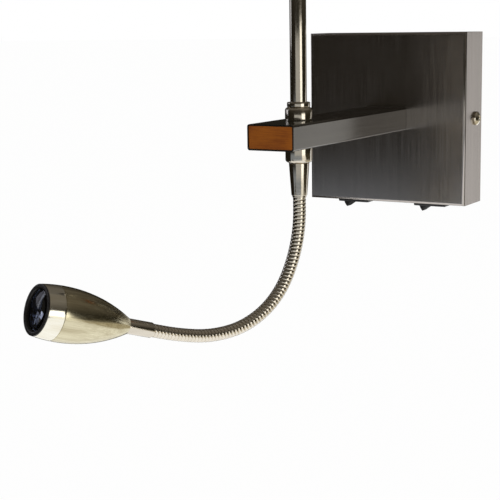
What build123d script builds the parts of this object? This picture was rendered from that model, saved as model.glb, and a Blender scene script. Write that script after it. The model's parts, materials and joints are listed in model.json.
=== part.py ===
from build123d import *
import math
import os

# Bedside wall reading lamp, in millimetres.
# X runs along the wall to the right, Y into the wall, Z up. The origin is on the wall plane, at the
# middle of the wall bracket's back, so the whole lamp stands out along -Y.

# ---------------------------------------------------------------- driving dimensions
# wall box
BOX_SIDE = 150.0
BOX_DEPTH = 40.0
COVER_SHEET = 1.5
COVER_BEND = 2.5
COVER_GAP = 0.3

# wall bracket
BRACKET_SHEET = 1.5
EAR_REACH = 24.0
EAR_HEIGHT = 52.0
SLOT_SPACING = 100.0
SLOT_LENGTH = 12.0
SLOT_WIDTH = 5.5
ENTRY_RADIUS = 10.0
ENTRY_HEIGHT = 40.0

# cover screws, M6 pan head
SCREW_RADIUS = 3.0
SCREW_HEAD_RADIUS = 6.0
SCREW_HEAD_HEIGHT = 4.4
PAN_RIM_SHARE = 0.4
RECESS_TURN = 35.0
RECESS_WIDTH = 1.6
SCREW_LENGTH = 12.0
SCREW_DEPTH = 15.0
CLINCH_RADIUS = 5.0
CLINCH_HEIGHT = 4.0

# arm
ARM_WIDTH = 40.0
ARM_HEIGHT = 20.0
ARM_WALL = 1.2
ARM_CORNER = 2.0
ARM_REACH = 210.0
STEM_SETBACK = 46.0
FLANGE_WIDTH = 64.0
FLANGE_HEIGHT = 44.0
FLANGE_SHEET = 3.0
STUD_RADIUS = 2.0
STUD_LENGTH = 9.0
STUD_SPACING_X = 52.0
STUD_SPACING_Z = 32.0
NUT_ACROSS = 7.0
NUT_HEIGHT = 3.2
CAP_FACE = 2.0
CAP_INSET = 0.2
CAP_SKIRT_DEPTH = 9.0
CAP_SKIRT_WALL = 1.2

# threaded rod through the arm, M10 x 1, and the turned pieces on it
ROD_RADIUS = 5.0
ROD_BORE = 3.5
ROD_ABOVE_ARM = 22.0
ROD_BELOW_ARM = 26.0
ROD_WINDOW_WIDTH = 5.6
COLLAR_RADIUS = 10.75
COLLAR_EDGE = 2.2
UPPER_COLLAR_HEIGHT = 10.4
LOWER_COLLAR_HEIGHT = 12.9
RING_RADIUS = 9.1
RING_HEIGHT = 3.9
RING_EDGE = 0.8
STEM_RADIUS = 6.5
STEM_LENGTH = 88.0

# flexible neck
FERRULE_TOP_RADIUS = 8.1
FERRULE_END_RADIUS = 6.3
FERRULE_STEP_RADIUS = 5.6
FERRULE_LENGTH = 27.3
FERRULE_STEP = 1.6
SWIVEL_GAP = 0.3
RIB_RADIUS = 5.1
GROOVE_RADIUS = 4.6
RIB_PITCH = 3.0
RIB_CREST = 1.8
NECK_BORE = 2.6
SPIGOT_RADIUS = 4.0
SPIGOT_LENGTH = 8.5
FLEX_GAP = 0.25
NECK_HEADING = 26.0
# the neck's bend about each of its flex points, in degrees
NECK_BENDS = (12.0, 17.0, 28.0, 26.0, 17.5, 6.5)
FLEX_SPACING = 33.0
NECK_START_RUN = 10.0
NECK_END_RUN = 10.0
NECK_TAIL = 6.0
SLEEVE_RADIUS = 5.8
SLEEVE_LENGTH = 21.5
SLEEVE_SCREW_LENGTH = 8.0

# reading head, one long arc from tail to front
HEAD_TAIL_RADIUS = 6.3
HEAD_MAX_RADIUS = 20.3
HEAD_LENGTH = 74.6
HEAD_MAX_SETBACK = 19.6
HEAD_WALL = 1.6
HEAD_TAIL_WALL = 8.0
BEZEL_LENGTH = 12.6
BEZEL_SKIRT = 8.0
BEZEL_BORE = 17.0
FRONT_RING_LENGTH = 1.0
RING_SKIRT = 4.0
RING_OPENING = 15.4
RING_LIP = 0.6
FRONT_EDGE = 0.6
LENS_RADIUS = 16.0
LENS_RIM = 2.0
LENS_RISE = 2.6
REFLECTOR_DEPTH = 19.0
REFLECTOR_WALL = 1.0
REFLECTOR_FOOT = 5.5
REFLECTOR_BULGE_AT = 0.4
REFLECTOR_BULGE = 0.62
BOARD_RADIUS = 15.0
BOARD_SHEET = 1.6
CHIP_SIDE = 10.0
CHIP_HEIGHT = 0.8
CHIP_DOME = 4.0
CHIP_TAPER = 20.0
BOARD_SCREW_CIRCLE = 11.5
SINK_LENGTH = 22.0
SINK_BASE = 3.6
SINK_CORE_RADIUS = 7.0
SINK_FINS = 12
SINK_SLOT = 2.4

# rocker switches in the underside
SWITCH_OFFSET = 37.5
SWITCH_DEPTH = 21.0
SWITCH_FLANGE_LENGTH = 30.0
SWITCH_FLANGE_WIDTH = 14.0
SWITCH_FLANGE = 3.4
SWITCH_FLANGE_CORNER = 1.0
SWITCH_FLANGE_CHAMFER = 0.5
SWITCH_CUT_LENGTH = 27.0
SWITCH_CUT_WIDTH = 12.0
SWITCH_BODY_HEIGHT = 15.0
BARB_REACH = 1.0
BARB_HEIGHT = 5.0
BARB_WIDTH = 6.0
ROCKER_RADIUS = 11.0
ROCKER_HALF_WIDTH = 4.1
ROCKER_PIVOT_DEPTH = 3.0
ROCKER_VALLEY = 0.6
ROCKER_SLOPE = 20.3
ROCKER_TILT = 14.0
ROCKER_BACK = 1.9
TRUNNION_RADIUS = 1.2
TRUNNION_LENGTH = 1.1
POCKET_HEIGHT = 9.0
BLADE_WIDTH = 6.3
BLADE_SHEET = 0.8
BLADE_LENGTH = 8.0
BLADE_SPACING = 11.0

# LED driver, terminal block and earth stud on the bracket
DRIVER_LENGTH = 78.0
DRIVER_HEIGHT = 26.0
DRIVER_DEPTH = 22.0
DRIVER_DROP = 36.0
DRIVER_EAR = 8.0
DRIVER_EAR_SHEET = 3.0
DRIVER_CORNER = 2.0
DRIVER_CHAMFER = 0.8
TERMINAL_LENGTH = 34.0
TERMINAL_HEIGHT = 18.0
TERMINAL_DEPTH = 18.0
TERMINAL_OFFSET = 42.0
TERMINAL_POLES = 3
TERMINAL_PITCH = 10.0
TERMINAL_PEG_INSET = 3.0
TERMINAL_HOLE_RADIUS = 2.2
M3_RADIUS = 1.5
M3_HEAD_RADIUS = 2.8
M3_HEAD_HEIGHT = 1.8
EARTH_STUD_LENGTH = 12.0
EARTH_TAG_RADIUS = 4.55

# leads
LAMP_LEAD_RADIUS = 2.5
LED_LEAD_RADIUS = 2.0
LEAD_RISE = 3.0
LEAD_BEND = 12.0
LEAD_TURN = 7.0
LED_LEAD_DEPTH = 14.0
LAMP_LEAD_DEPTH = 11.0
LED_LEAD_SIDE = 52.0
LEAD_END_GAP = 1.0
LEAD_IN_HEAD = 30.0

# lampholder on the stem, for an E27 bulb
HOLDER_CAP_RADIUS = 21.0
HOLDER_CAP_HEIGHT = 26.0
HOLDER_CAP_WALL = 1.2
HOLDER_CAP_SHOULDER = 15.6
HOLDER_NECK_RADIUS = 9.0
HOLDER_NECK_HEIGHT = 5.0
HOLDER_RADIUS = 19.5
HOLDER_WALL = 2.0
HOLDER_HEIGHT = 46.0
HOLDER_SEAT = 8.0
INSERT_HEIGHT = 30.0
INSERT_FLOOR = 6.0
SHELL_BORE = 13.4
SHELL_WALL = 0.8
SHELL_LENGTH = 20.0
CONTACT_RADIUS = 4.0
CONTACT_HEIGHT = 3.5
CONTACT_TAPER = 25.0
SHADE_RING_RADIUS = 28.0
SHADE_RING_HEIGHT = 4.0
SHADE_RING_GAP = 5.0
SHADE_RING_UP = 9.0

# fits, each the clearance per side
SEAT = 0.1
THREAD = 0.05
RUNNING = 0.05

# ---------------------------------------------------------------- places worked out from the dimensions
box_half = BOX_SIDE / 2
cover_inside = box_half - COVER_SHEET
face_inside = BOX_DEPTH - COVER_SHEET
bracket_half = cover_inside - COVER_GAP
arm_start = face_inside - FLANGE_SHEET
arm_end = BOX_DEPTH + ARM_REACH
arm_half = ARM_HEIGHT / 2
stem_out = arm_end - STEM_SETBACK
stem_axis = Axis((0, -stem_out, 0), (0, 0, 1))
stem_plane = Plane(origin=(0, -stem_out, 0), x_dir=(1, 0, 0), z_dir=(0, -1, 0))

collar_top = arm_half + UPPER_COLLAR_HEIGHT
ring_top = collar_top + RING_HEIGHT
stem_top = ring_top + STEM_LENGTH
rod_top = arm_half + ROD_ABOVE_ARM
rod_bottom = -arm_half - ROD_BELOW_ARM
lower_collar_bottom = -arm_half - LOWER_COLLAR_HEIGHT
ferrule_top = lower_collar_bottom - SWIVEL_GAP
neck_root = ferrule_top - FERRULE_LENGTH

heading = math.radians(NECK_HEADING)
neck_forward = Vector(-math.sin(heading), -math.cos(heading), 0)
neck_side = Vector(-math.cos(heading), math.sin(heading), 0)
flex_count = len(NECK_BENDS)
flex_points = [FLEX_SPACING * (i + 0.5) for i in range(flex_count)]
neck_length = FLEX_SPACING * flex_count + NECK_TAIL
# the neck's runs, each its length and its bend: straight at the ferrule, then one arc about each flex point
bend_lengths = [FLEX_SPACING] * flex_count
bend_lengths[0] -= NECK_START_RUN
bend_lengths[-1] += NECK_TAIL - NECK_END_RUN
neck_arcs = [(NECK_START_RUN, 0.0)] + list(zip(bend_lengths, NECK_BENDS))


def neck_state(distance):
    """Forward reach, drop and heading of the neck's centreline at a distance along it."""
    reach, drop, angle, walked = 0.0, 0.0, 0.0, 0.0
    for length, bend in neck_arcs:
        step = min(max(distance - walked, 0.0), length)
        turn = math.radians(bend) * step / length
        if turn:
            radius = length / math.radians(bend)
            reach += radius * (math.cos(angle) - math.cos(angle + turn))
            drop += radius * (math.sin(angle + turn) - math.sin(angle))
        else:
            reach += step * math.sin(angle)
            drop += step * math.cos(angle)
        angle += turn
        walked += length
    beyond = max(distance - walked, 0.0) + min(distance, 0.0)
    return reach + beyond * math.sin(angle), drop + beyond * math.cos(angle), angle


def neck_point(distance):
    reach, drop, angle = neck_state(distance)
    return Vector(0, -stem_out, neck_root - drop) + neck_forward * reach


def neck_tangent(distance):
    angle = neck_state(distance)[2]
    return neck_forward * math.sin(angle) + Vector(0, 0, -math.cos(angle))


def neck_plane(distance):
    return Plane(origin=neck_point(distance), x_dir=neck_side, z_dir=neck_tangent(distance))


def neck_route(start, end):
    """The neck's centreline from start to end, as its straight runs and tangent arcs."""
    ends = [0.0]
    for length, bend in neck_arcs:
        ends.append(ends[-1] + length)
    stops = [start] + [stop for stop in ends if start < stop < end] + [end]
    with BuildLine(mode=Mode.PRIVATE) as route:
        for first, last in zip(stops, stops[1:]):
            if neck_state(first)[2] == neck_state(last)[2]:
                Line(neck_point(first), neck_point(last))
            else:
                ThreePointArc(neck_point(first), neck_point((first + last) / 2), neck_point(last))
    return route.wire()


head_start = neck_length + SLEEVE_LENGTH
head_origin = neck_point(head_start)
head_forward = neck_tangent(head_start)
head_axis = Axis(head_origin, head_forward)
head_profile = Plane(origin=head_origin, x_dir=head_forward, z_dir=neck_side)
ring_at = HEAD_LENGTH - FRONT_RING_LENGTH
bezel_at = ring_at - BEZEL_LENGTH
head_max_at = HEAD_LENGTH - HEAD_MAX_SETBACK
head_arc_radius = (head_max_at**2 + (HEAD_MAX_RADIUS - HEAD_TAIL_RADIUS) ** 2) / (
    2 * (HEAD_MAX_RADIUS - HEAD_TAIL_RADIUS)
)


def head_plane(along):
    return Plane(origin=head_origin + head_forward * along, x_dir=neck_side, z_dir=head_forward)


def head_radius(along, inset=0.0):
    """Radius of the head's long arc, or of the arc that runs inset inside it."""
    radius = head_arc_radius - inset
    return HEAD_MAX_RADIUS - head_arc_radius + math.sqrt(radius**2 - (along - head_max_at) ** 2)


def head_arc(first, last, inset=0.0):
    middle = (first + last) / 2
    ThreePointArc(
        (first, head_radius(first, inset)), (middle, head_radius(middle, inset)), (last, head_radius(last, inset))
    )


def finish(piece, label):
    piece.part.label = label
    export_step(piece.part, f"parts/{label}.step")


def pan_head(radius, height):
    """Half profile of a pan head standing on Y = 0, for a turn about the Y axis."""
    rim = height * PAN_RIM_SHARE
    dome = (radius**2 + (height - rim) ** 2) / (2 * (height - rim))
    half_turn = math.asin(radius / dome) / 2
    with BuildLine(mode=Mode.PRIVATE) as outline:
        Polyline((0, height), (0, 0), (radius, 0), (radius, rim))
        ThreePointArc(
            (radius, rim), (dome * math.sin(half_turn), height - dome + dome * math.cos(half_turn)), (0, height)
        )
    return outline.edges()


os.makedirs("parts", exist_ok=True)

# ---------------------------------------------------------------- wall box
# The cover is a folded sheet tray: its open side sits on the wall, its four side walls have rolled
# edges at the face, the arm passes through its face and the switches through its underside.
with BuildPart() as cover_box:
    with BuildSketch(Plane.XZ):
        Rectangle(BOX_SIDE, BOX_SIDE)
    extrude(amount=BOX_DEPTH)
    fillet(cover_box.faces().sort_by(Axis.Y)[0].edges(), COVER_BEND)
    offset(amount=-COVER_SHEET, openings=cover_box.faces().sort_by(Axis.Y)[-1])
    with BuildSketch(Plane.XZ.offset(BOX_DEPTH)):
        RectangleRounded(ARM_WIDTH + 2 * SEAT, ARM_HEIGHT + 2 * SEAT, ARM_CORNER + SEAT)
    extrude(amount=-COVER_SHEET * 2, mode=Mode.SUBTRACT)
    with BuildSketch(Plane.XY.offset(-box_half)):
        with Locations((-SWITCH_OFFSET, -SWITCH_DEPTH), (SWITCH_OFFSET, -SWITCH_DEPTH)):
            Rectangle(SWITCH_CUT_LENGTH, SWITCH_CUT_WIDTH)
    extrude(amount=COVER_SHEET * 2, mode=Mode.SUBTRACT)
    with BuildSketch(Plane.YZ.offset(-box_half)):
        with Locations((-SCREW_DEPTH, 0)):
            Circle(SCREW_RADIUS + COVER_GAP)
    extrude(amount=BOX_SIDE, mode=Mode.SUBTRACT)
    with BuildSketch(Plane.XZ.offset(face_inside)):
        with GridLocations(STUD_SPACING_X, STUD_SPACING_Z, 2, 2):
            Circle(STUD_RADIUS)
    extrude(amount=-STUD_LENGTH)
finish(cover_box, "cover_box")

# The bracket is a plate with two ears folded forward. Each ear holds a clinch nut for a cover screw.
with BuildPart() as wall_bracket:
    with BuildSketch(Plane.XZ):
        Rectangle(2 * bracket_half, 2 * bracket_half)
        with GridLocations(SLOT_SPACING, 0, 2, 1):
            SlotOverall(SLOT_LENGTH, SLOT_WIDTH, mode=Mode.SUBTRACT)
        with Locations((0, ENTRY_HEIGHT)):
            Circle(ENTRY_RADIUS, mode=Mode.SUBTRACT)
    extrude(amount=BRACKET_SHEET)
    with BuildSketch(Plane.XY.offset(-EAR_HEIGHT / 2)):
        for side in (-1, 1):
            with Locations((side * (bracket_half - BRACKET_SHEET / 2), -EAR_REACH / 2)):
                Rectangle(BRACKET_SHEET, EAR_REACH)
    extrude(amount=EAR_HEIGHT)
    with BuildSketch(Plane.YZ.offset(bracket_half)):
        with Locations((-SCREW_DEPTH, 0)):
            Circle(CLINCH_RADIUS)
    extrude(amount=-BRACKET_SHEET - CLINCH_HEIGHT)
    with BuildSketch(Plane.YZ.offset(-bracket_half)):
        with Locations((-SCREW_DEPTH, 0)):
            Circle(CLINCH_RADIUS)
    extrude(amount=BRACKET_SHEET + CLINCH_HEIGHT)
    with BuildSketch(Plane.YZ.offset(-bracket_half)):
        with Locations((-SCREW_DEPTH, 0)):
            Circle(SCREW_RADIUS + THREAD)
    extrude(amount=2 * bracket_half, mode=Mode.SUBTRACT)
    driver_screw_offset = DRIVER_LENGTH / 2 + DRIVER_EAR / 2
    terminal_peg_offset = TERMINAL_LENGTH / 2 - TERMINAL_PEG_INSET
    with BuildSketch(Plane.XZ):
        with Locations((-driver_screw_offset, -DRIVER_DROP), (driver_screw_offset, -DRIVER_DROP)):
            Circle(M3_RADIUS + THREAD)
        with Locations(
            (TERMINAL_OFFSET - terminal_peg_offset, ENTRY_HEIGHT), (TERMINAL_OFFSET + terminal_peg_offset, ENTRY_HEIGHT)
        ):
            Circle(M3_RADIUS + SEAT)
    extrude(amount=BRACKET_SHEET, mode=Mode.SUBTRACT)
finish(wall_bracket, "wall_bracket")

# Pan head screws hold the cover, one in the middle of each side near the wall.
with BuildPart() as cover_screws:
    for side in (-1, 1):
        seat_plane = Plane(origin=(side * box_half, -SCREW_DEPTH, 0), x_dir=(0, 1, 0), z_dir=(0, 0, -side))
        screw_axis = Axis((0, -SCREW_DEPTH, 0), (1, 0, 0))
        with BuildSketch(seat_plane):
            make_face(pan_head(SCREW_HEAD_RADIUS, SCREW_HEAD_HEIGHT))
        revolve(axis=screw_axis)
        with BuildSketch(Plane.YZ.offset(side * box_half)):
            with Locations((-SCREW_DEPTH, 0)):
                Circle(SCREW_RADIUS)
        extrude(amount=-side * SCREW_LENGTH)
        with BuildSketch(Plane.YZ.offset(side * (box_half + SCREW_HEAD_HEIGHT))):
            with Locations((-SCREW_DEPTH, 0)):
                with Locations(Rotation(0, 0, RECESS_TURN)):
                    Rectangle(SCREW_HEAD_RADIUS, RECESS_WIDTH)
                    Rectangle(RECESS_WIDTH, SCREW_HEAD_RADIUS)
        extrude(amount=-side * SCREW_HEAD_HEIGHT / 2, mode=Mode.SUBTRACT)
finish(cover_screws, "cover_screws")

# ---------------------------------------------------------------- arm
with BuildPart() as arm_tube:
    with BuildSketch(Plane.XZ.offset(arm_start)):
        RectangleRounded(ARM_WIDTH, ARM_HEIGHT, ARM_CORNER)
        RectangleRounded(
            ARM_WIDTH - 2 * ARM_WALL, ARM_HEIGHT - 2 * ARM_WALL, ARM_CORNER - ARM_WALL, mode=Mode.SUBTRACT
        )
    extrude(amount=arm_end - arm_start)
    with BuildSketch(Plane.XY.offset(-arm_half)):
        with Locations((0, -stem_out)):
            Circle(ROD_RADIUS + SEAT)
    extrude(amount=ARM_HEIGHT, mode=Mode.SUBTRACT)
finish(arm_tube, "arm_tube")

with BuildPart() as arm_flange:
    with BuildSketch(Plane.XZ.offset(arm_start)):
        RectangleRounded(FLANGE_WIDTH, FLANGE_HEIGHT, ARM_CORNER * 2)
        RectangleRounded(ARM_WIDTH + 2 * THREAD, ARM_HEIGHT + 2 * THREAD, ARM_CORNER, mode=Mode.SUBTRACT)
        with GridLocations(STUD_SPACING_X, STUD_SPACING_Z, 2, 2):
            Circle(STUD_RADIUS + SEAT, mode=Mode.SUBTRACT)
    extrude(amount=FLANGE_SHEET)
finish(arm_flange, "arm_flange")

with BuildPart() as flange_nuts:
    with BuildSketch(Plane.XZ.offset(arm_start)):
        with GridLocations(STUD_SPACING_X, STUD_SPACING_Z, 2, 2):
            RegularPolygon(NUT_ACROSS / 2, 6, major_radius=False)
            Circle(STUD_RADIUS + THREAD, mode=Mode.SUBTRACT)
    extrude(amount=-NUT_HEIGHT)
finish(flange_nuts, "flange_nuts")

# The plug in the arm's mouth: a face plate just inside the tube's edge and a thin skirt behind it.
cap_width = ARM_WIDTH - 2 * ARM_WALL - 2 * SEAT
cap_height = ARM_HEIGHT - 2 * ARM_WALL - 2 * SEAT
with BuildPart() as arm_end_cap:
    with BuildSketch(Plane.XZ.offset(arm_end - CAP_INSET)):
        RectangleRounded(cap_width, cap_height, ARM_CORNER - ARM_WALL)
    extrude(amount=-CAP_FACE)
    with BuildSketch(Plane.XZ.offset(arm_end - CAP_INSET - CAP_FACE)):
        Rectangle(cap_width - CAP_SKIRT_WALL, cap_height - CAP_SKIRT_WALL)
        Rectangle(cap_width - 3 * CAP_SKIRT_WALL, cap_height - 3 * CAP_SKIRT_WALL, mode=Mode.SUBTRACT)
    extrude(amount=-CAP_SKIRT_DEPTH)
finish(arm_end_cap, "arm_end_cap")

# ---------------------------------------------------------------- rod, collars and stem
# The hollow rod clamps both collars on the arm. A window in its side lets the leads in from the arm.
with BuildPart() as stem_nipple:
    with BuildSketch(Plane.XY.offset(rod_bottom)):
        with Locations((0, -stem_out)):
            Circle(ROD_RADIUS)
            Circle(ROD_BORE, mode=Mode.SUBTRACT)
    extrude(amount=rod_top - rod_bottom)
    window_height = ARM_HEIGHT - 2 * ARM_WALL
    with BuildSketch(Plane.XZ.offset(stem_out)):
        Rectangle(ROD_WINDOW_WIDTH, window_height)
    extrude(amount=-ROD_RADIUS - SEAT, mode=Mode.SUBTRACT)
finish(stem_nipple, "stem_nipple")


def turned_collar(bottom, height, radius, bore, top_round=0.0, bottom_round=0.0):
    """A turned ring about the stem's axis, with its outer edges rounded as asked."""
    with BuildPart() as collar:
        with BuildSketch(Plane.XY.offset(bottom)):
            with Locations((0, -stem_out)):
                Circle(radius)
                Circle(bore, mode=Mode.SUBTRACT)
        extrude(amount=height)
        rims = collar.edges().filter_by(GeomType.CIRCLE).filter_by(lambda edge: abs(edge.radius - radius) < RUNNING)
        if top_round:
            fillet(rims.sort_by(Axis.Z)[-1], top_round)
        if bottom_round:
            fillet(rims.sort_by(Axis.Z)[0], bottom_round)
    return collar


rod_thread = ROD_RADIUS + THREAD
upper_collar = turned_collar(arm_half, UPPER_COLLAR_HEIGHT, COLLAR_RADIUS, rod_thread, top_round=COLLAR_EDGE)
finish(upper_collar, "upper_collar")

stem_ring = turned_collar(collar_top, RING_HEIGHT, RING_RADIUS, rod_thread, RING_EDGE, RING_EDGE)
finish(stem_ring, "stem_ring")

stem_tube = turned_collar(ring_top, STEM_LENGTH, STEM_RADIUS, rod_thread)
finish(stem_tube, "stem_tube")

lower_collar = turned_collar(
    lower_collar_bottom, LOWER_COLLAR_HEIGHT, COLLAR_RADIUS, rod_thread, bottom_round=COLLAR_EDGE
)
finish(lower_collar, "lower_collar")

# ---------------------------------------------------------------- flexible neck
# The ferrule turns on the end of the rod. Its cone narrows to the neck that is fixed in its lower end.
rod_socket = rod_bottom - SEAT - ferrule_top
with BuildPart() as neck_ferrule:
    with BuildSketch(stem_plane):
        with BuildLine():
            Polyline(
                (ROD_RADIUS + RUNNING, ferrule_top),
                (FERRULE_TOP_RADIUS, ferrule_top),
                (FERRULE_END_RADIUS, neck_root + FERRULE_STEP),
                (FERRULE_STEP_RADIUS, neck_root + FERRULE_STEP),
                (FERRULE_STEP_RADIUS, neck_root),
                (SPIGOT_RADIUS + SEAT, neck_root),
                (SPIGOT_RADIUS + SEAT, ferrule_top + rod_socket),
                (ROD_RADIUS + RUNNING, ferrule_top + rod_socket),
                close=True,
            )
        make_face()
    revolve(axis=stem_axis)
finish(neck_ferrule, "neck_ferrule")


def neck_hose(start, end):
    """One length of the ribbed neck, from a flex point, or the ferrule, to the next, or the sleeve.

    The far end is a ball about its flex point, and the near end is hollowed to pass round the ball
    of the length before it, so each length can turn on the next without touching it.
    """
    starts_on_ball = start > 0
    ends_in_ball = end < neck_length
    first = start + RIB_PITCH if starts_on_ball else start + RIB_PITCH / 2
    last = end - RIB_PITCH if ends_in_ball else end - RIB_PITCH / 2
    ribs = round((last - first) / RIB_PITCH) + 1
    rings = [(first - RIB_PITCH / 2, GROOVE_RADIUS)]
    for i in range(ribs):
        centre = first + RIB_PITCH * i
        rings.append((centre - RIB_CREST / 2, RIB_RADIUS))
        rings.append((centre + RIB_CREST / 2, RIB_RADIUS))
        rings.append((centre + RIB_PITCH / 2, GROOVE_RADIUS))
    with BuildPart() as hose:
        for distance, radius in rings:
            with BuildSketch(neck_plane(distance)):
                Circle(radius)
        loft(ruled=True)
        if ends_in_ball:
            with BuildSketch(neck_plane(end - RIB_PITCH / 2)):
                Circle(GROOVE_RADIUS)
            extrude(amount=RIB_PITCH / 2)
            with Locations(neck_point(end)):
                Sphere(RIB_RADIUS)
        else:
            with BuildSketch(neck_plane(end)):
                Circle(SPIGOT_RADIUS)
            extrude(amount=SPIGOT_LENGTH)
        if starts_on_ball:
            with Locations(neck_point(start)):
                Sphere(RIB_RADIUS + FLEX_GAP, mode=Mode.SUBTRACT)
        else:
            with BuildSketch(neck_plane(start)):
                Circle(SPIGOT_RADIUS)
            extrude(amount=-SPIGOT_LENGTH)
        bore_start = start if starts_on_ball else start - SPIGOT_LENGTH
        bore_end = end + RIB_RADIUS + FLEX_GAP if ends_in_ball else end + SPIGOT_LENGTH
        with BuildSketch(neck_plane(bore_start)):
            Circle(NECK_BORE)
        sweep(path=neck_route(bore_start, bore_end), mode=Mode.SUBTRACT)
    return hose


hose_stops = [0.0] + flex_points + [neck_length]
for i, (start, end) in enumerate(zip(hose_stops, hose_stops[1:])):
    finish(neck_hose(start, end), f"neck_hose_{i}")

with BuildPart() as neck_sleeve:
    sleeve_end = neck_length + SLEEVE_LENGTH
    with BuildSketch(neck_plane(neck_length)):
        Circle(SLEEVE_RADIUS)
    extrude(amount=SLEEVE_LENGTH)
    with BuildSketch(neck_plane(sleeve_end)):
        Circle(SPIGOT_RADIUS)
    extrude(amount=SLEEVE_SCREW_LENGTH)
    with BuildSketch(neck_plane(neck_length)):
        Circle(SPIGOT_RADIUS + SEAT)
    extrude(amount=SPIGOT_LENGTH + SEAT, mode=Mode.SUBTRACT)
    with BuildSketch(neck_plane(neck_length)):
        Circle(NECK_BORE)
    extrude(amount=SLEEVE_LENGTH + SLEEVE_SCREW_LENGTH, mode=Mode.SUBTRACT)
finish(neck_sleeve, "neck_sleeve")

# The two-core lead runs down the neck's bore, in one length for each length of neck.
lead_gap = RIB_RADIUS + FLEX_GAP
lead_stops = [neck_root - rod_bottom + LEAD_END_GAP] + flex_points + [head_start + LEAD_IN_HEAD]
for i, (start, end) in enumerate(zip(lead_stops, lead_stops[1:])):
    begin = start + lead_gap if i else start
    with BuildPart() as neck_lead:
        with BuildSketch(neck_plane(begin)):
            Circle(LED_LEAD_RADIUS)
        sweep(path=neck_route(begin, end))
    finish(neck_lead, f"neck_lead_{i}")

# ---------------------------------------------------------------- reading head
with BuildPart() as head_shell:
    with BuildSketch(head_profile):
        with BuildLine():
            head_arc(0, bezel_at)
            Line((bezel_at, head_radius(bezel_at)), (bezel_at, head_radius(bezel_at, HEAD_WALL)))
            head_arc(HEAD_TAIL_WALL, bezel_at, HEAD_WALL)
            Polyline(
                (HEAD_TAIL_WALL, head_radius(HEAD_TAIL_WALL, HEAD_WALL)),
                (HEAD_TAIL_WALL, SPIGOT_RADIUS + THREAD),
                (0, SPIGOT_RADIUS + THREAD),
                (0, head_radius(0)),
            )
        make_face()
    revolve(axis=head_axis)
finish(head_shell, "head_shell")

# The bezel screws into the shell and carries the black front ring, which holds the lens.
bezel_skirt_radius = head_radius(bezel_at, HEAD_WALL) - SEAT
with BuildPart() as head_bezel:
    with BuildSketch(head_profile):
        with BuildLine():
            head_arc(bezel_at, ring_at)
            Polyline(
                (ring_at, head_radius(ring_at)),
                (ring_at, BEZEL_BORE),
                (bezel_at - BEZEL_SKIRT, BEZEL_BORE),
                (bezel_at - BEZEL_SKIRT, bezel_skirt_radius),
                (bezel_at, bezel_skirt_radius),
                (bezel_at, head_radius(bezel_at)),
            )
        make_face()
    revolve(axis=head_axis)
finish(head_bezel, "head_bezel")

lens_back = ring_at - RING_SKIRT + SEAT
lens_front = lens_back + LENS_RIM
with BuildPart() as front_ring:
    with BuildSketch(head_profile):
        with BuildLine():
            head_arc(ring_at, HEAD_LENGTH)
            Polyline(
                (HEAD_LENGTH, head_radius(HEAD_LENGTH)),
                (HEAD_LENGTH, RING_OPENING + RING_LIP),
                (HEAD_LENGTH - RING_LIP, RING_OPENING),
                (lens_front + SEAT, RING_OPENING),
                (lens_front + SEAT, LENS_RADIUS + SEAT),
                (ring_at - RING_SKIRT, LENS_RADIUS + SEAT),
                (ring_at - RING_SKIRT, BEZEL_BORE - SEAT),
                (ring_at, BEZEL_BORE - SEAT),
                (ring_at, head_radius(ring_at)),
            )
        make_face()
    revolve(axis=head_axis)
    front_edges = front_ring.edges().filter_by(GeomType.CIRCLE).sort_by(head_axis)[-2:]
    fillet(front_edges.sort_by(SortBy.RADIUS)[-1], FRONT_EDGE)
finish(front_ring, "front_ring")

with BuildPart() as lens:
    dome_radius = RING_OPENING - SEAT * 2
    dome_arc = (dome_radius**2 + LENS_RISE**2) / (2 * LENS_RISE)
    with Locations(head_plane(lens_front + LENS_RISE - dome_arc)):
        Sphere(dome_arc)
    with BuildSketch(head_plane(lens_front)):
        Circle(dome_radius)
    extrude(amount=LENS_RISE, mode=Mode.INTERSECT)
    with BuildSketch(head_plane(lens_back)):
        Circle(LENS_RADIUS)
    extrude(amount=LENS_RIM)
finish(lens, "lens")

reflector_rim = lens_back - SEAT
reflector_foot_at = reflector_rim - REFLECTOR_DEPTH
with BuildPart() as reflector:
    middle_at = reflector_foot_at + REFLECTOR_DEPTH * REFLECTOR_BULGE_AT
    middle_radius = REFLECTOR_FOOT + (LENS_RADIUS - 2 * REFLECTOR_WALL - REFLECTOR_FOOT) * REFLECTOR_BULGE
    with BuildSketch(head_profile):
        with BuildLine():
            ThreePointArc(
                (reflector_foot_at, REFLECTOR_FOOT),
                (middle_at, middle_radius),
                (reflector_rim, LENS_RADIUS - 2 * REFLECTOR_WALL),
            )
            Polyline(
                (reflector_rim, LENS_RADIUS - 2 * REFLECTOR_WALL),
                (reflector_rim, LENS_RADIUS),
                (reflector_rim - REFLECTOR_WALL, LENS_RADIUS),
                (reflector_rim - REFLECTOR_WALL, LENS_RADIUS - REFLECTOR_WALL),
            )
            ThreePointArc(
                (reflector_rim - REFLECTOR_WALL, LENS_RADIUS - REFLECTOR_WALL),
                (middle_at, middle_radius + REFLECTOR_WALL),
                (reflector_foot_at, REFLECTOR_FOOT + REFLECTOR_WALL),
            )
            Line((reflector_foot_at, REFLECTOR_FOOT + REFLECTOR_WALL), (reflector_foot_at, REFLECTOR_FOOT))
        make_face()
    revolve(axis=head_axis)
finish(reflector, "reflector")

board_front = reflector_foot_at - CHIP_HEIGHT - SEAT
board_back = board_front - BOARD_SHEET
with BuildPart() as led_board:
    with BuildSketch(head_plane(board_back)):
        Circle(BOARD_RADIUS)
        with PolarLocations(BOARD_SCREW_CIRCLE, 2):
            Circle(M3_RADIUS + SEAT, mode=Mode.SUBTRACT)
    extrude(amount=BOARD_SHEET)
finish(led_board, "led_board")

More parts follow.
